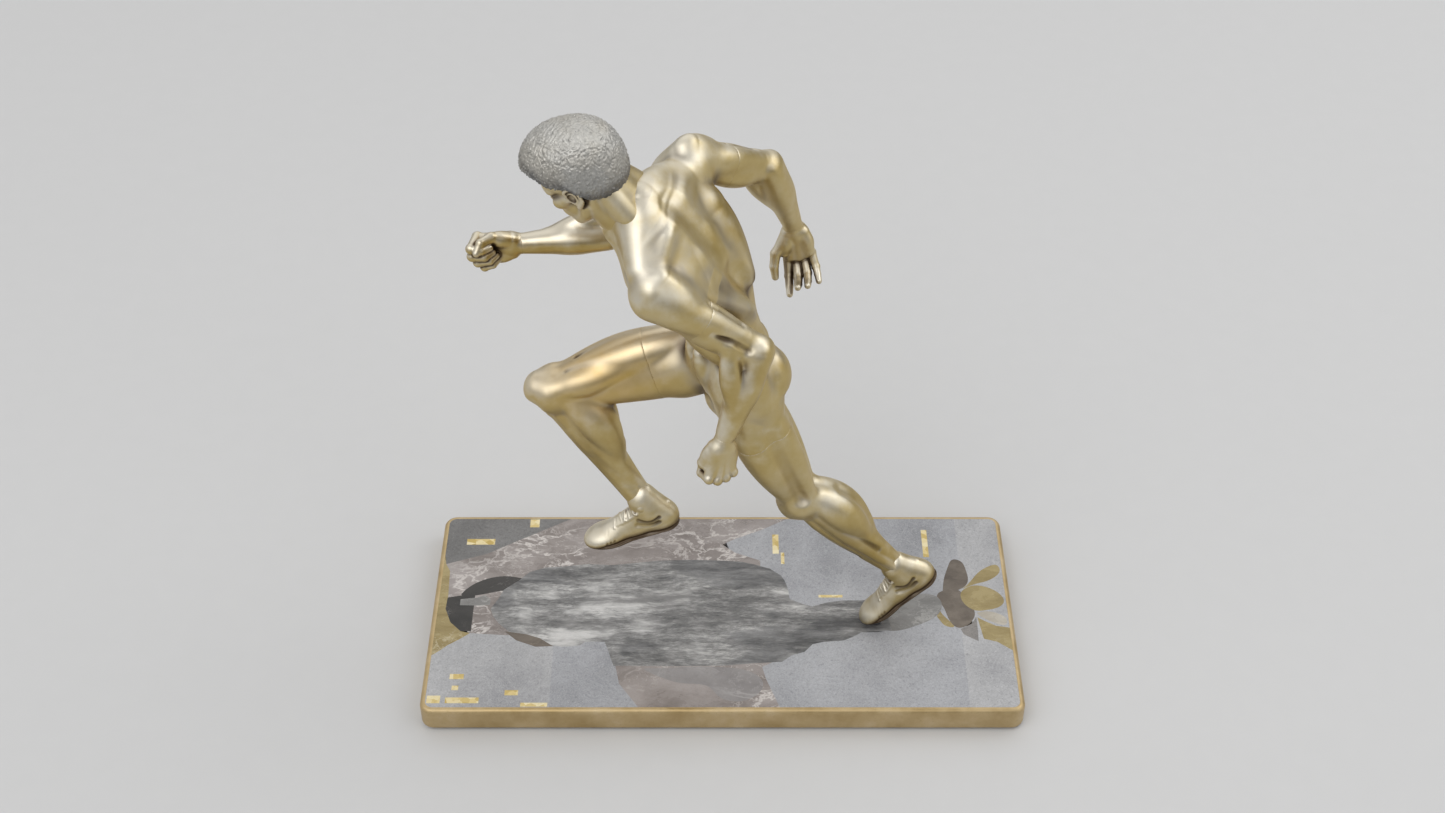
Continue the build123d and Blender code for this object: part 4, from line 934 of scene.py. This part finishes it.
def sculpt(name, groups, join, lo, hi, h, nodes, extra=None, fine=0.0):
    """Meshes the joined groups, puts it on the field's surface and stores crease and ridge values."""
    h = h * 1.0
    G, lo, h = net(groups, join, lo, hi, h, 8 if h < 0.85 else 7, POOL)
    P, Q = mesh_grid(G, lo, h)
    used = np.zeros(len(P), bool)
    used[Q.ravel()] = True
    ids = np.cumsum(used) - 1
    P, Q = P[used], ids[Q]
    for _ in range(2):
        N = grad(G, lo, h, P, 0.75)
        P = P - N * np.clip(sample(G, lo, h, P), -0.5 * h, 0.5 * h)[:, None]
    N = grad(G, lo, h, P, 0.9)
    # crease and hollow: how closely the surface closes round a point within 1.8 mm and 6 mm; the bronze darkens there
    # with patina, deepened as painted shade. ridge: how sharply the form rounds over within 2.6 mm; the bronze lightens
    # there for wear, partly as a painted highlight.
    cav = np.clip(1 - sample(G, lo, h, P + N * 1.8) / 1.8, 0, 1)
    cav2 = np.clip(1 - sample(G, lo, h, P + N * 6.0) / 6.0, 0, 1)
    ridge = np.clip(1 + sample(G, lo, h, P - N * 2.6) / 2.6, 0, 1)
    calm = np.ones(len(P))
    for q, d in SEAM.values():      # the chased joints are dressed flush, so near each seam the crease and ridge values fade out, and with them the painted shade and highlight
        s = (P - q) @ d
        calm *= np.where(np.linalg.norm(P - q - s[:, None] * d, axis=1) < 30, smoothstep(2.6, 4.2, np.abs(s + 0.6)), 1.0)
    # upper: how far each face turns towards the key light (up, left and to the front); the bronze paints light on faces
    # turned to it and shade on faces turned away
    at = {"crease": cav * calm, "hollow": cav2, "ridge": ridge * calm, "upper": 0.5 + 0.5 * (N @ un(V(-0.30, -0.30, 0.90)))}
    if extra:
        at.update(extra(P, N))
    # quads wound so that they face out
    a = P[Q[:, 2]] - P[Q[:, 0]]
    b = P[Q[:, 3]] - P[Q[:, 1]]
    if np.mean((np.cross(a, b) * N[Q[:, 0]]).sum(1) > 0) < 0.5:
        Q = Q[:, ::-1]
    o = new_object(name, P, Q, N, at)
    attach(o, "root")
    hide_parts(*nodes)
    print("piece", name, len(P), "points", len(Q) * 2, "triangles")
    return o


def box_of(shapes, pad=2.5, pts=()):
    lo = np.min([s.c - s.r for s in shapes if s.op == "add"] + [V(p) for p in pts], 0) - pad
    hi = np.max([s.c + s.r for s in shapes if s.op == "add"] + [V(p) for p in pts], 0) + pad
    return lo, hi


def span(pts, pad):
    pts = np.array([V(p) for p in pts])
    return pts.min(0) - pad, pts.max(0) + pad


def warmth(P, N):
    """Where the gold shows warmest: along the raised thigh."""
    t = np.clip((P - TR.a) @ TR.d / TR.L, -0.2, 1.25)
    off = np.linalg.norm(P - (TR.a + TR.d * (t * TR.L)[:, None]), axis=1)
    w = np.exp(-((t - 0.62) / 0.42) ** 2) * np.exp(-(off / 24.0) ** 4)
    # faces turned up take more of the warm tone: painted warm light on the top of the thigh
    w = w * (0.45 + 0.55 * np.clip(N @ V(0, -0.35, 0.93), 0, 1))
    return {"warm": np.clip(w, 0, 1)}


def no_warmth(P, N):
    return {"warm": np.zeros(len(P))}


def g(name, bound=None, shapes=None):
    return name, shapes or GROUPS[name], bound


ATHLETE = []
ATHLETE.append(sculpt(
    "athlete_trunk",
    [g("torso")] + [g(n, tucked(JOIN[n][0])) for n in ("leg_left", "leg_right", "arm_left", "arm_fore", "arm_back", "head")],
    stub, (-78, -76, 136), (54, 78, 348), 0.88, ("torso", "pelvis"), warmth))
for side, T, K in (("left", TL, KL), ("right", TR, KR)):
    n = "leg_" + side
    lo, hi = span([T.P(0.3), T.b, K.b], 27)
    ATHLETE.append(sculpt("athlete_" + n, [g(n, lap("thigh_" + side))], joiner, lo, hi, 0.74,
                          ("thigh_" + side, "shank_" + side), warmth))
for side, U, F, hand in (("left", UL, FL, HAND_L), ("fore", UF, FF, HAND_F), ("back", UB, FB, HAND_B)):
    n, w = "arm_" + side, "hand_" + side
    lo, hi = span([U.P(0.3), U.b, F.b], 20)
    ATHLETE.append(sculpt("athlete_" + n,
                          [g(n, lambda p, a="upper_arm_" + side, b=w: np.maximum(-(past(a, p) + 2.0), past(b, p)))],
                          cuffed(w), lo, hi, 0.70, ("upper_arm_" + side, "forearm_" + side), no_warmth))
    lo, hi = box_of(hand, 3)
    ATHLETE.append(sculpt("athlete_" + w, [g(n, lap(w, 1.6))], joiner, lo, hi, 0.42, (w,), no_warmth))
lo, hi = span([H(-22, 24, 22), H(22, -26, -30), H(20, 24, -30), NECK_LOW, H(-22, -26, 22)], 4)
ATHLETE.append(sculpt("athlete_head", [g("head", lap("head"))], joiner, lo, hi, 0.46, ("head",), no_warmth))


def curled(parts, p):
    d = joiner(parts, p)
    near = np.abs(d) < 3.0
    if near.any():
        q = p[near]
        lift = 1.15 * (0.62 - hair_noise(q + 1.0 * np.sin(q[:, [1, 2, 0]] * 0.9), 0.58, 11)) + 0.45 * (0.6 - hair_noise(q, 1.1, 5))
        d = d.copy()
        d[near] -= lift * (1 - smoothstep(2.0, 3.0, np.abs(d[near])))
    return d


def hair_tone(P, N):
    q = (P - HC) @ HEAD.T
    low = np.clip(hairline(P) / -9.0, 0, 1)
    # crown: paler away from the hairline, and paler on faces turned up, which is painted light
    return {"warm": np.zeros(len(P)), "crown": np.clip(low * 0.7 + np.clip(N[:, 2], 0, 1) * 0.5, 0, 1)}


lo, hi = box_of(GROUPS["hair"][:3], 3)
HAIR = sculpt("athlete_hair", [g("hair")], curled, lo, hi, 0.42, ("hair_cap",), hair_tone)
for side in ("left", "right"):
    n = "shoe_" + side
    lo, hi = box_of(GROUPS[n], 2.5)
    ATHLETE.append(sculpt("athlete_" + n, [g(n)], joiner, lo, hi, 0.46, (n,), no_warmth))


# ------------------------------------------------------------ materials
WORLD_GAIN = 0.88


class Mat:
    """A node material on the Principled shader, in object coordinates (metres)."""

    def __init__(self, name):
        self.m = bpy.data.materials.new(name)
        self.m.use_nodes = True
        self.t = self.m.node_tree
        self.t.nodes.clear()
        self.out = self.t.nodes.new("ShaderNodeOutputMaterial")
        self.p = self.t.nodes.new("ShaderNodeBsdfPrincipled")
        self.t.links.new(self.p.outputs[0], self.out.inputs[0])
        self.co = self.t.nodes.new("ShaderNodeTexCoord").outputs["Object"]

    def put(self, socket, v):
        if v is None:
            return
        if isinstance(v, (int, float)):
            socket.default_value = v
        elif isinstance(v, tuple):
            socket.default_value = v if len(v) == len(socket.default_value) else v + (1.0,)
        else:
            self.t.links.new(v, socket)

    def mapped(self, scale=(1, 1, 1), rot=(0, 0, 0), loc=(0, 0, 0), vec=None):
        n = self.t.nodes.new("ShaderNodeMapping")
        self.put(n.inputs["Vector"], vec if vec is not None else self.co)
        n.inputs["Scale"].default_value = scale
        n.inputs["Rotation"].default_value = rot
        n.inputs["Location"].default_value = loc
        return n.outputs[0]

    def noise(self, scale, detail=3.0, rough=0.5, vec=None, dist=0.0, kind="FBM"):
        n = self.t.nodes.new("ShaderNodeTexNoise")
        n.noise_type = kind
        self.put(n.inputs["Vector"], vec if vec is not None else self.co)
        n.inputs["Scale"].default_value = scale
        n.inputs["Detail"].default_value = detail
        n.inputs["Roughness"].default_value = rough
        n.inputs["Distortion"].default_value = dist
        self.last = n
        return n.outputs["Fac"]

    def cells(self, scale, vec=None, feature="F1", out="Distance", rand=1.0):
        n = self.t.nodes.new("ShaderNodeTexVoronoi")
        n.feature = feature
        self.put(n.inputs["Vector"], vec if vec is not None else self.co)
        n.inputs["Scale"].default_value = scale
        n.inputs["Randomness"].default_value = rand
        return n.outputs[out]

    def ramp(self, fac, stops, mode="LINEAR"):
        n = self.t.nodes.new("ShaderNodeValToRGB")
        n.color_ramp.interpolation = mode
        e = n.color_ramp.elements
        while len(e) < len(stops):
            e.new(0.5)
        for el, (pos, col) in zip(e, stops):
            el.position = pos
            el.color = (col, col, col, 1.0) if isinstance(col, (int, float)) else tuple(col) + (1.0,)
        self.put(n.inputs["Fac"], fac)
        return n.outputs["Color"]

    def mix(self, fac, a, b, blend="MIX"):
        n = self.t.nodes.new("ShaderNodeMix")
        n.data_type = "RGBA"
        n.blend_type = blend
        self.put(n.inputs[0], fac)
        self.put(n.inputs[6], a)
        self.put(n.inputs[7], b)
        return n.outputs[2]

    def math(self, op, a, b=None, clamp=False):
        n = self.t.nodes.new("ShaderNodeMath")
        n.operation = op
        n.use_clamp = clamp
        self.put(n.inputs[0], a)
        self.put(n.inputs[1], b)
        return n.outputs[0]

    def span(self, v, a, b, c=0.0, d=1.0, kind="SMOOTHSTEP"):
        n = self.t.nodes.new("ShaderNodeMapRange")
        n.interpolation_type = kind
        self.put(n.inputs["Value"], v)
        for k, x in (("From Min", a), ("From Max", b), ("To Min", c), ("To Max", d)):
            n.inputs[k].default_value = x
        return n.outputs["Result"]

    def attr(self, name):
        n = self.t.nodes.new("ShaderNodeAttribute")
        n.attribute_name = name
        return n.outputs["Fac"]

    def offset(self, vec, by, amount):
        """Coordinates pushed about by a colour."""
        a = self.t.nodes.new("ShaderNodeVectorMath")
        a.operation = "SUBTRACT"
        self.put(a.inputs[0], by)
        a.inputs[1].default_value = (0.5, 0.5, 0.5)
        s = self.t.nodes.new("ShaderNodeVectorMath")
        s.operation = "SCALE"
        self.t.links.new(a.outputs[0], s.inputs[0])
        s.inputs["Scale"].default_value = amount
        d = self.t.nodes.new("ShaderNodeVectorMath")
        d.operation = "ADD"
        self.put(d.inputs[0], vec)
        self.t.links.new(s.outputs[0], d.inputs[1])
        return d.outputs[0]

    def bump(self, height, dist, strength=1.0, normal=None):
        n = self.t.nodes.new("ShaderNodeBump")
        n.inputs["Strength"].default_value = strength
        n.inputs["Distance"].default_value = dist
        self.put(n.inputs["Height"], height)
        self.put(n.inputs["Normal"], normal)
        return n.outputs[0]

    def set(self, color=None, rough=None, metal=None, spec=None, normal=None, coat=None, coat_rough=None):
        i = self.p.inputs
        self.put(i["Base Color"], color)
        self.put(i["Roughness"], rough)
        self.put(i["Metallic"], metal)
        self.put(i["Specular IOR Level"], spec)
        self.put(i["Normal"], normal)
        self.put(i["Coat Weight"], coat)
        self.put(i["Coat Roughness"], coat_rough)
        return self.m


def bronze(name, pale, mid, deep, crease, warm=True, hair=False):
    m = Mat(name)
    big = m.noise(17, 2, 0.5)
    med = m.noise(110, 3, 0.5)
    fine = m.noise(900, 3, 0.6)
    patch = m.math("ADD", m.math("MULTIPLY", big, 0.78), m.math("MULTIPLY", med, 0.22))
    col = m.ramp(patch, [(0.34, deep), (0.50, mid), (0.66, pale)])
    # painted light: faces turned towards the key light go pale as a painted highlight, faces turned away go dark as
    # painted shade
    up = m.math("ADD", m.attr("upper"), m.math("MULTIPLY", m.math("SUBTRACT", med, 0.5), 0.35))
    col = m.mix(m.span(up, 0.62, 1.0, 0.0, 0.70), col, (0.84, 0.81, 0.73))
    col = m.mix(m.span(up, 0.52, 0.12, 0.0, 0.65), col, (0.42, 0.285, 0.10))
    # warm orange tone along the raised thigh, strongest on its upward faces, which is partly painted light
    if warm:
        col = m.mix(m.math("MULTIPLY", m.attr("warm"), m.span(med, 0.2, 0.7, 0.65, 0.95)), col, (0.62, 0.40, 0.10))
    # ridges go pale: wear on the high points, partly a painted highlight
    ridge = m.span(m.attr("ridge"), 0.04, 0.5)
    col = m.mix(m.math("MULTIPLY", ridge, 0.34), col, (0.80, 0.77, 0.70))
    # hollows and creases go to the crease colour and darker: patina held there, deepened as painted shade
    hollow = m.span(m.attr("hollow"), 0.10, 0.75)
    tone = m.mix(m.math("MULTIPLY", hollow, 0.62), col, crease)
    cr = m.span(m.math("ADD", m.attr("crease"), m.math("MULTIPLY", m.math("SUBTRACT", med, 0.5), 0.25)), 0.10, 0.55)
    tone = m.mix(m.math("MULTIPLY", cr, 0.85), tone, (crease[0] * 0.5, crease[1] * 0.5, crease[2] * 0.5))
    tone = m.mix(m.span(fine, 0.60, 0.80, 0.0, 0.10), tone, (0.16, 0.13, 0.08))
    rough = m.math("ADD", m.span(big, 0.3, 0.7, 0.36, 0.46), m.math("MULTIPLY", hollow, 0.15))
    h = m.math("ADD", m.math("MULTIPLY", med, 0.5), m.math("MULTIPLY", fine, 0.14))
    m.set(color=tone, rough=rough, metal=1.0, normal=m.bump(h, 0.00016, 0.7))
    return m.m


def silvered():
    m = Mat("silvered_hair")
    big = m.noise(60, 3, 0.55)
    med = m.noise(420, 3, 0.6)
    fine = m.noise(1900, 3, 0.6)
    # dark towards the hairline, pale at the crown; the paleness on faces turned up is painted light
    low = m.attr("crown")
    col = m.ramp(low, [(0.0, (0.07, 0.07, 0.074)), (0.30, (0.155, 0.155, 0.155)), (0.62, (0.37, 0.366, 0.35)), (1.0, (0.55, 0.54, 0.51))])
    col = m.mix(m.span(big, 0.35, 0.65, 0.0, 0.28), col, (0.46, 0.41, 0.32))
    # curl creases darker: oxide held there, deepened as painted shade; curl ridges paler: wear, partly a painted
    # highlight
    cr = m.span(m.attr("crease"), 0.02, 0.55)
    col = m.mix(m.math("MULTIPLY", cr, 0.55), col, (0.21, 0.21, 0.205))
    rg = m.span(m.attr("ridge"), 0.15, 0.75)
    col = m.mix(m.math("MULTIPLY", rg, 0.40), col, (0.66, 0.65, 0.61))
    col = m.mix(m.span(fine, 0.52, 0.75, 0.0, 0.35), col, (0.20, 0.20, 0.19))
    h = m.math("ADD", m.math("MULTIPLY", med, 0.6), m.math("MULTIPLY", fine, 0.4))
    m.set(color=col, rough=m.span(med, 0.3, 0.7, 0.40, 0.55), metal=0.8, normal=m.bump(h, 0.0005, 0.9))
    return m.m


def granite(name, light, mid, dark, blue=0.0, cloud=22):
    m = Mat(name)
    c = m.noise(cloud, 5, 0.6)
    grain = m.noise(1500, 2, 0.7)
    speck = m.cells(950)
    s2 = m.noise(520, 4, 0.75)
    col = m.ramp(c, [(0.30, dark), (0.50, mid), (0.72, light)])
    col = m.mix(m.span(s2, 0.50, 0.72, 0.0, 0.55), col, tuple(x * 0.62 for x in dark))
    col = m.mix(m.span(grain, 0.56, 0.72, 0.0, 0.5), col, tuple(min(1, x * 1.35) for x in light))
    col = m.mix(0.22, col, m.ramp(speck, [(0.0, 0.25), (1.0, 0.80)]), "OVERLAY")
    vein = m.noise(38, 6, 0.7, dist=1.3)
    v = m.span(m.math("ABSOLUTE", m.math("SUBTRACT", vein, 0.5)), 0.0, 0.018, 0.30, 0.0)
    col = m.mix(v, col, tuple(min(1, x * 1.3) for x in light))
    h = m.math("ADD", m.math("MULTIPLY", s2, 0.5), m.math("MULTIPLY", grain, 0.5))
    m.set(color=col, rough=m.span(s2, 0.3, 0.7, 0.34, 0.50), spec=0.45, normal=m.bump(h, 0.00012, 0.6))
    return m.m


def marble(name, a, b, vein_col, scale=26, vein=0.030, rough=0.22, strength=0.9, turn=0.5, stretch=(1, 1.7, 1)):
    m = Mat(name)
    base = m.mapped(stretch, (0, 0, turn))
    m.noise(scale * 0.9, 4, 0.6, vec=base)
    warp = m.offset(base, m.last.outputs["Color"], 0.028)
    c = m.noise(scale, 6, 0.62, vec=warp)
    col = m.ramp(c, [(0.32, a), (0.66, b)])
    v1 = m.noise(scale * 0.8, 5, 0.6, vec=warp, dist=0.8)
    v2 = m.noise(scale * 2.2, 5, 0.6, vec=warp, dist=0.5)
    k1 = m.span(m.math("ABSOLUTE", m.math("SUBTRACT", v1, 0.5)), 0.0, vein, strength, 0.0)
    k2 = m.span(m.math("ABSOLUTE", m.math("SUBTRACT", v2, 0.52)), 0.0, vein * 0.5, strength * 0.55, 0.0)
    fade = m.span(m.noise(scale * 0.6, 2, 0.5), 0.42, 0.62)
    col = m.mix(m.math("MULTIPLY", m.math("MAXIMUM", k1, k2), fade), col, vein_col)
    g = m.noise(1300, 2, 0.6)
    col = m.mix(m.span(g, 0.5, 0.8, 0.0, 0.22), col, tuple(x * 0.6 for x in a))
    m.set(color=col, rough=m.span(c, 0.3, 0.7, rough, rough + 0.10), spec=0.5, normal=m.bump(g, 0.00006, 0.4))
    return m.m


def streaked():
    """Weathered grey stone with a running grain and dark drifts."""
    m = Mat("stone_running_grain")
    m.noise(30, 3, 0.5)
    warp = m.offset(m.co, m.last.outputs["Color"], 0.007)
    flow = m.mapped((0.19, 1.0, 1.0), (0, 0, 0.07), vec=warp)
    f1 = m.noise(72, 7, 0.68, vec=flow)
    f2 = m.noise(380, 5, 0.7, vec=flow)
    big = m.noise(27, 4, 0.6, vec=m.mapped((0.50, 1.0, 1.0), vec=warp))
    f3 = m.noise(1100, 4, 0.75, vec=m.mapped((0.30, 1.0, 1.0), (0, 0, 0.16), vec=warp))
    mixv = m.math("ADD", m.math("MULTIPLY", f1, 0.46), m.math("ADD", m.math("MULTIPLY", f2, 0.30), m.math("MULTIPLY", f3, 0.24)))
    col = m.ramp(mixv, [(0.36, (0.06, 0.06, 0.06)), (0.46, (0.16, 0.158, 0.155)), (0.53, (0.29, 0.286, 0.28)), (0.62, (0.60, 0.59, 0.575))])
    dark = m.span(big, 0.50, 0.60)
    col = m.mix(m.math("MULTIPLY", dark, 0.72), col, m.mix(m.span(f1, 0.40, 0.60), (0.045, 0.045, 0.047), (0.17, 0.17, 0.172)))
    pale = m.span(big, 0.47, 0.38)
    col = m.mix(m.math("MULTIPLY", pale, 0.70), col, m.mix(m.span(f1, 0.40, 0.58), (0.24, 0.235, 0.23), (0.66, 0.65, 0.635)))
    h = m.math("ADD", m.math("MULTIPLY", f1, 0.65), m.math("MULTIPLY", f2, 0.35))
    m.set(color=col, rough=m.span(f2, 0.3, 0.7, 0.45, 0.62), spec=0.4, normal=m.bump(h, 0.0016, 0.7))
    return m.m


def gilt():
    m = Mat("gilt_frame")
    n = m.noise(45, 4, 0.6)
    f = m.noise(700, 3, 0.6)
    brush = m.noise(900, 3, 0.6, vec=m.mapped((0.03, 1, 1)))
    col = m.ramp(n, [(0.3, (0.42, 0.30, 0.135)), (0.55, (0.55, 0.42, 0.23)), (0.75, (0.64, 0.52, 0.33))])
    col = m.mix(m.span(f, 0.56, 0.76, 0.0, 0.4), col, (0.34, 0.25, 0.12))
    h = m.math("ADD", m.math("MULTIPLY", brush, 0.6), m.math("MULTIPLY", f, 0.4))
    m.set(color=col, rough=m.span(n, 0.3, 0.7, 0.36, 0.52), metal=0.75, normal=m.bump(h, 0.00012, 0.7))
    return m.m


def smalti():
    m = Mat("gold_tesserae")
    c = m.cells(260, out="Color")
    n = m.noise(500, 3, 0.6)
    sep = m.t.nodes.new("ShaderNodeSeparateColor")
    m.put(sep.inputs[0], c)
    col = m.ramp(sep.outputs[0], [(0.0, (0.52, 0.38, 0.12)), (0.5, (0.70, 0.56, 0.26)), (1.0, (0.82, 0.73, 0.48))])
    col = m.mix(m.span(n, 0.55, 0.75, 0.0, 0.35), col, (0.36, 0.28, 0.12))
    m.set(color=col, rough=m.span(n, 0.3, 0.7, 0.28, 0.46), metal=0.45, spec=0.5, normal=m.bump(n, 0.0002, 0.7))
    return m.m


def felt():
    m = Mat("felt")
    n = m.noise(1600, 4, 0.7)
    c = m.noise(70, 3, 0.5)
    col = m.ramp(c, [(0.3, (0.035, 0.055, 0.040)), (0.7, (0.060, 0.085, 0.065))])
    col = m.mix(m.span(n, 0.5, 0.8, 0.0, 0.5), col, (0.10, 0.13, 0.105))
    m.p.inputs["Sheen Weight"].default_value = 0.35
    m.set(color=col, rough=0.95, spec=0.1, normal=m.bump(n, 0.0004, 0.9))
    return m.m


def steel():
    m = Mat("turned_steel")
    n = m.noise(900, 3, 0.6, vec=m.mapped((1, 1, 8)))
    col = m.ramp(n, [(0.3, (0.42, 0.43, 0.45)), (0.7, (0.58, 0.59, 0.61))])
    m.set(color=col, rough=m.span(n, 0.3, 0.7, 0.28, 0.42), metal=1.0, normal=m.bump(n, 0.00005, 0.5))
    return m.m


BRONZE = bronze("bronze_patina", (0.65, 0.55, 0.335), (0.56, 0.44, 0.20), (0.45, 0.325, 0.108), (0.15, 0.088, 0.044))
FINISH = {
    "silvered_bronze": silvered(),
    "bronze": BRONZE,
    "gilt_metal": gilt(),
    "gold_smalti": smalti(),
    "slate_core": granite("sawn_slate", (0.30, 0.295, 0.29), (0.25, 0.245, 0.24), (0.19, 0.187, 0.184)),
    "felt": felt(),
    "steel": steel(),
    "stone_granite": granite("granite_mid", (0.40, 0.405, 0.423), (0.328, 0.332, 0.35), (0.246, 0.25, 0.264)),
    "stone_granite_pale": granite("granite_pale", (0.45, 0.45, 0.458), (0.38, 0.38, 0.388), (0.295, 0.295, 0.307)),
    "stone_granite_dark": granite("granite_dark", (0.20, 0.196, 0.192), (0.15, 0.147, 0.143), (0.10, 0.098, 0.096)),
    "stone_marble": marble("marble_rose_brown", (0.155, 0.130, 0.115), (0.34, 0.305, 0.290), (0.62, 0.58, 0.55)),
    "stone_relief": streaked(),
    "stone_mist": marble("stone_mist", (0.165, 0.16, 0.152), (0.29, 0.285, 0.275), (0.46, 0.45, 0.43), scale=40, strength=0.5),
    "stone_umber": marble("stone_umber", (0.085, 0.066, 0.050), (0.175, 0.145, 0.115), (0.30, 0.25, 0.19), scale=50, rough=0.16, strength=0.5),
    "stone_ochre": marble("stone_ochre", (0.225, 0.165, 0.055), (0.37, 0.295, 0.135), (0.56, 0.49, 0.33), scale=46, rough=0.20, strength=0.6),
    "stone_cream": marble("stone_cream", (0.36, 0.32, 0.255), (0.48, 0.445, 0.38), (0.58, 0.545, 0.48), scale=40, rough=0.22, strength=0.5),
    "stone_basalt": granite("stone_basalt", (0.245, 0.228, 0.213), (0.19, 0.18, 0.172), (0.13, 0.124, 0.12)),
    "stone_black": marble("stone_black", (0.016, 0.015, 0.013), (0.045, 0.041, 0.037), (0.22, 0.205, 0.19), scale=34, vein=0.012, rough=0.14, strength=0.7),
    "stone_slate": marble("stone_slate", (0.165, 0.150, 0.148), (0.30, 0.285, 0.28), (0.48, 0.46, 0.45), scale=24, rough=0.26, strength=0.45),
}
SLOT_OF = {s["node"]: s["material_slot"] for s in frame["record"]["subparts"]}
for name, o in NODES.items():
    o.data.materials.clear()
    o.data.materials.append(FINISH[SLOT_OF[name]])
for o in ATHLETE:
    o.data.materials.append(FINISH["bronze"])
HAIR.data.materials.append(FINISH["silvered_bronze"])


# ------------------------------------------------------------ floor, light, camera
def plain_floor():
    me = bpy.data.meshes.new("studio_floor")
    r = 6.0
    me.from_pydata([(-r, -r, 0), (r, -r, 0), (r, r, 0), (-r, r, 0)], [], [(0, 1, 2, 3)])
    o = bpy.data.objects.new("studio_floor", me)
    bpy.context.scene.collection.objects.link(o)
    m = Mat("floor_paper")
    n = m.noise(60, 3)
    m.set(color=m.ramp(n, [(0.0, (0.592, 0.592, 0.592)), (1.0, (0.608, 0.608, 0.608))]), rough=0.9, spec=0.1)
    me.materials.append(m.m)
    o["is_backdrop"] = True
    return o


plain_floor()

world = bpy.data.worlds.new("studio_dome")
bpy.context.scene.world = world
world.use_nodes = True
wt = world.node_tree
wt.nodes.clear()
out = wt.nodes.new("ShaderNodeOutputWorld")
bg = wt.nodes.new("ShaderNodeBackground")
tc = wt.nodes.new("ShaderNodeTexCoord")
wt.links.new(bg.outputs[0], out.inputs[0])


def w_math(op, a, b=None):
    n = wt.nodes.new("ShaderNodeMath")
    n.operation = op
    for i, v in enumerate((a, b)):
        if v is None:
            continue
        if isinstance(v, (int, float)):
            n.inputs[i].default_value = v
        else:
            wt.links.new(v, n.inputs[i])
    return n.outputs[0]


def lobe(direction, start, end, strength):
    """A soft light panel on the dome."""
    d = un(direction)
    dot = wt.nodes.new("ShaderNodeVectorMath")
    dot.operation = "DOT_PRODUCT"
    wt.links.new(tc.outputs["Generated"], dot.inputs[0])
    dot.inputs[1].default_value = tuple(d)
    mr = wt.nodes.new("ShaderNodeMapRange")
    mr.interpolation_type = "SMOOTHSTEP"
    wt.links.new(dot.outputs["Value"], mr.inputs["Value"])
    mr.inputs["From Min"].default_value = start
    mr.inputs["From Max"].default_value = end
    mr.inputs["To Min"].default_value = 0.0
    mr.inputs["To Max"].default_value = strength
    return mr.outputs["Result"]


DOME = lobe((0, 0, 1), -0.25, 0.75, 0.38)
for d, a, b, s in (
    ((-0.50, -0.55, 0.70), 0.72, 0.93, 0.92),
    ((0.85, -0.15, 0.50), 0.74, 0.93, 0.82),
    ((0.0, 0.75, 0.66), 0.70, 0.93, 0.70),
    ((-0.90, 0.25, 0.35), 0.80, 0.95, 0.45),
):
    DOME = w_math("ADD", DOME, lobe(d, a, b, s))
DOME = w_math("ADD", DOME, 0.10)
wt.links.new(w_math("MULTIPLY", DOME, WORLD_GAIN), bg.inputs["Strength"])
bg.inputs["Color"].default_value = (1.0, 1.0, 1.0, 1.0)


def softbox(name, loc, aim, size, power):
    light = bpy.data.lights.new(name, "AREA")
    light.shape = "SQUARE"
    light.size = size
    light.energy = power
    o = bpy.data.objects.new(name, light)
    o.location = loc
    v = V(aim) - V(loc)
    from_z = un(-v)
    yaw = math.atan2(from_z[0], -from_z[1])
    o.rotation_euler = (math.acos(from_z[2]), 0, yaw)
    bpy.context.scene.collection.objects.link(o)


softbox("soft_key", (-0.9, -1.1, 2.2), (0, 0, 0.15), 1.6, 10.5)
softbox("soft_rim", (1.3, 0.5, 1.7), (0, 0, 0.2), 1.2, 6.2)

cam_data = bpy.data.cameras.new("camera")
cam_data.lens = 50.0
cam_data.sensor_width = 36.0
cam = bpy.data.objects.new("camera", cam_data)
cam.location = (0.0, -0.8374, 0.9493)
cam.rotation_euler = (math.radians(47.7), 0.0, 0.0)
bpy.context.scene.collection.objects.link(cam)
bpy.context.scene.camera = cam
bpy.context.scene.view_settings.view_transform = "Standard"

lo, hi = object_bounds()
{"cad": [list(CAD_LO), list(CAD_HI)], "visual": [list(lo), list(hi)]}
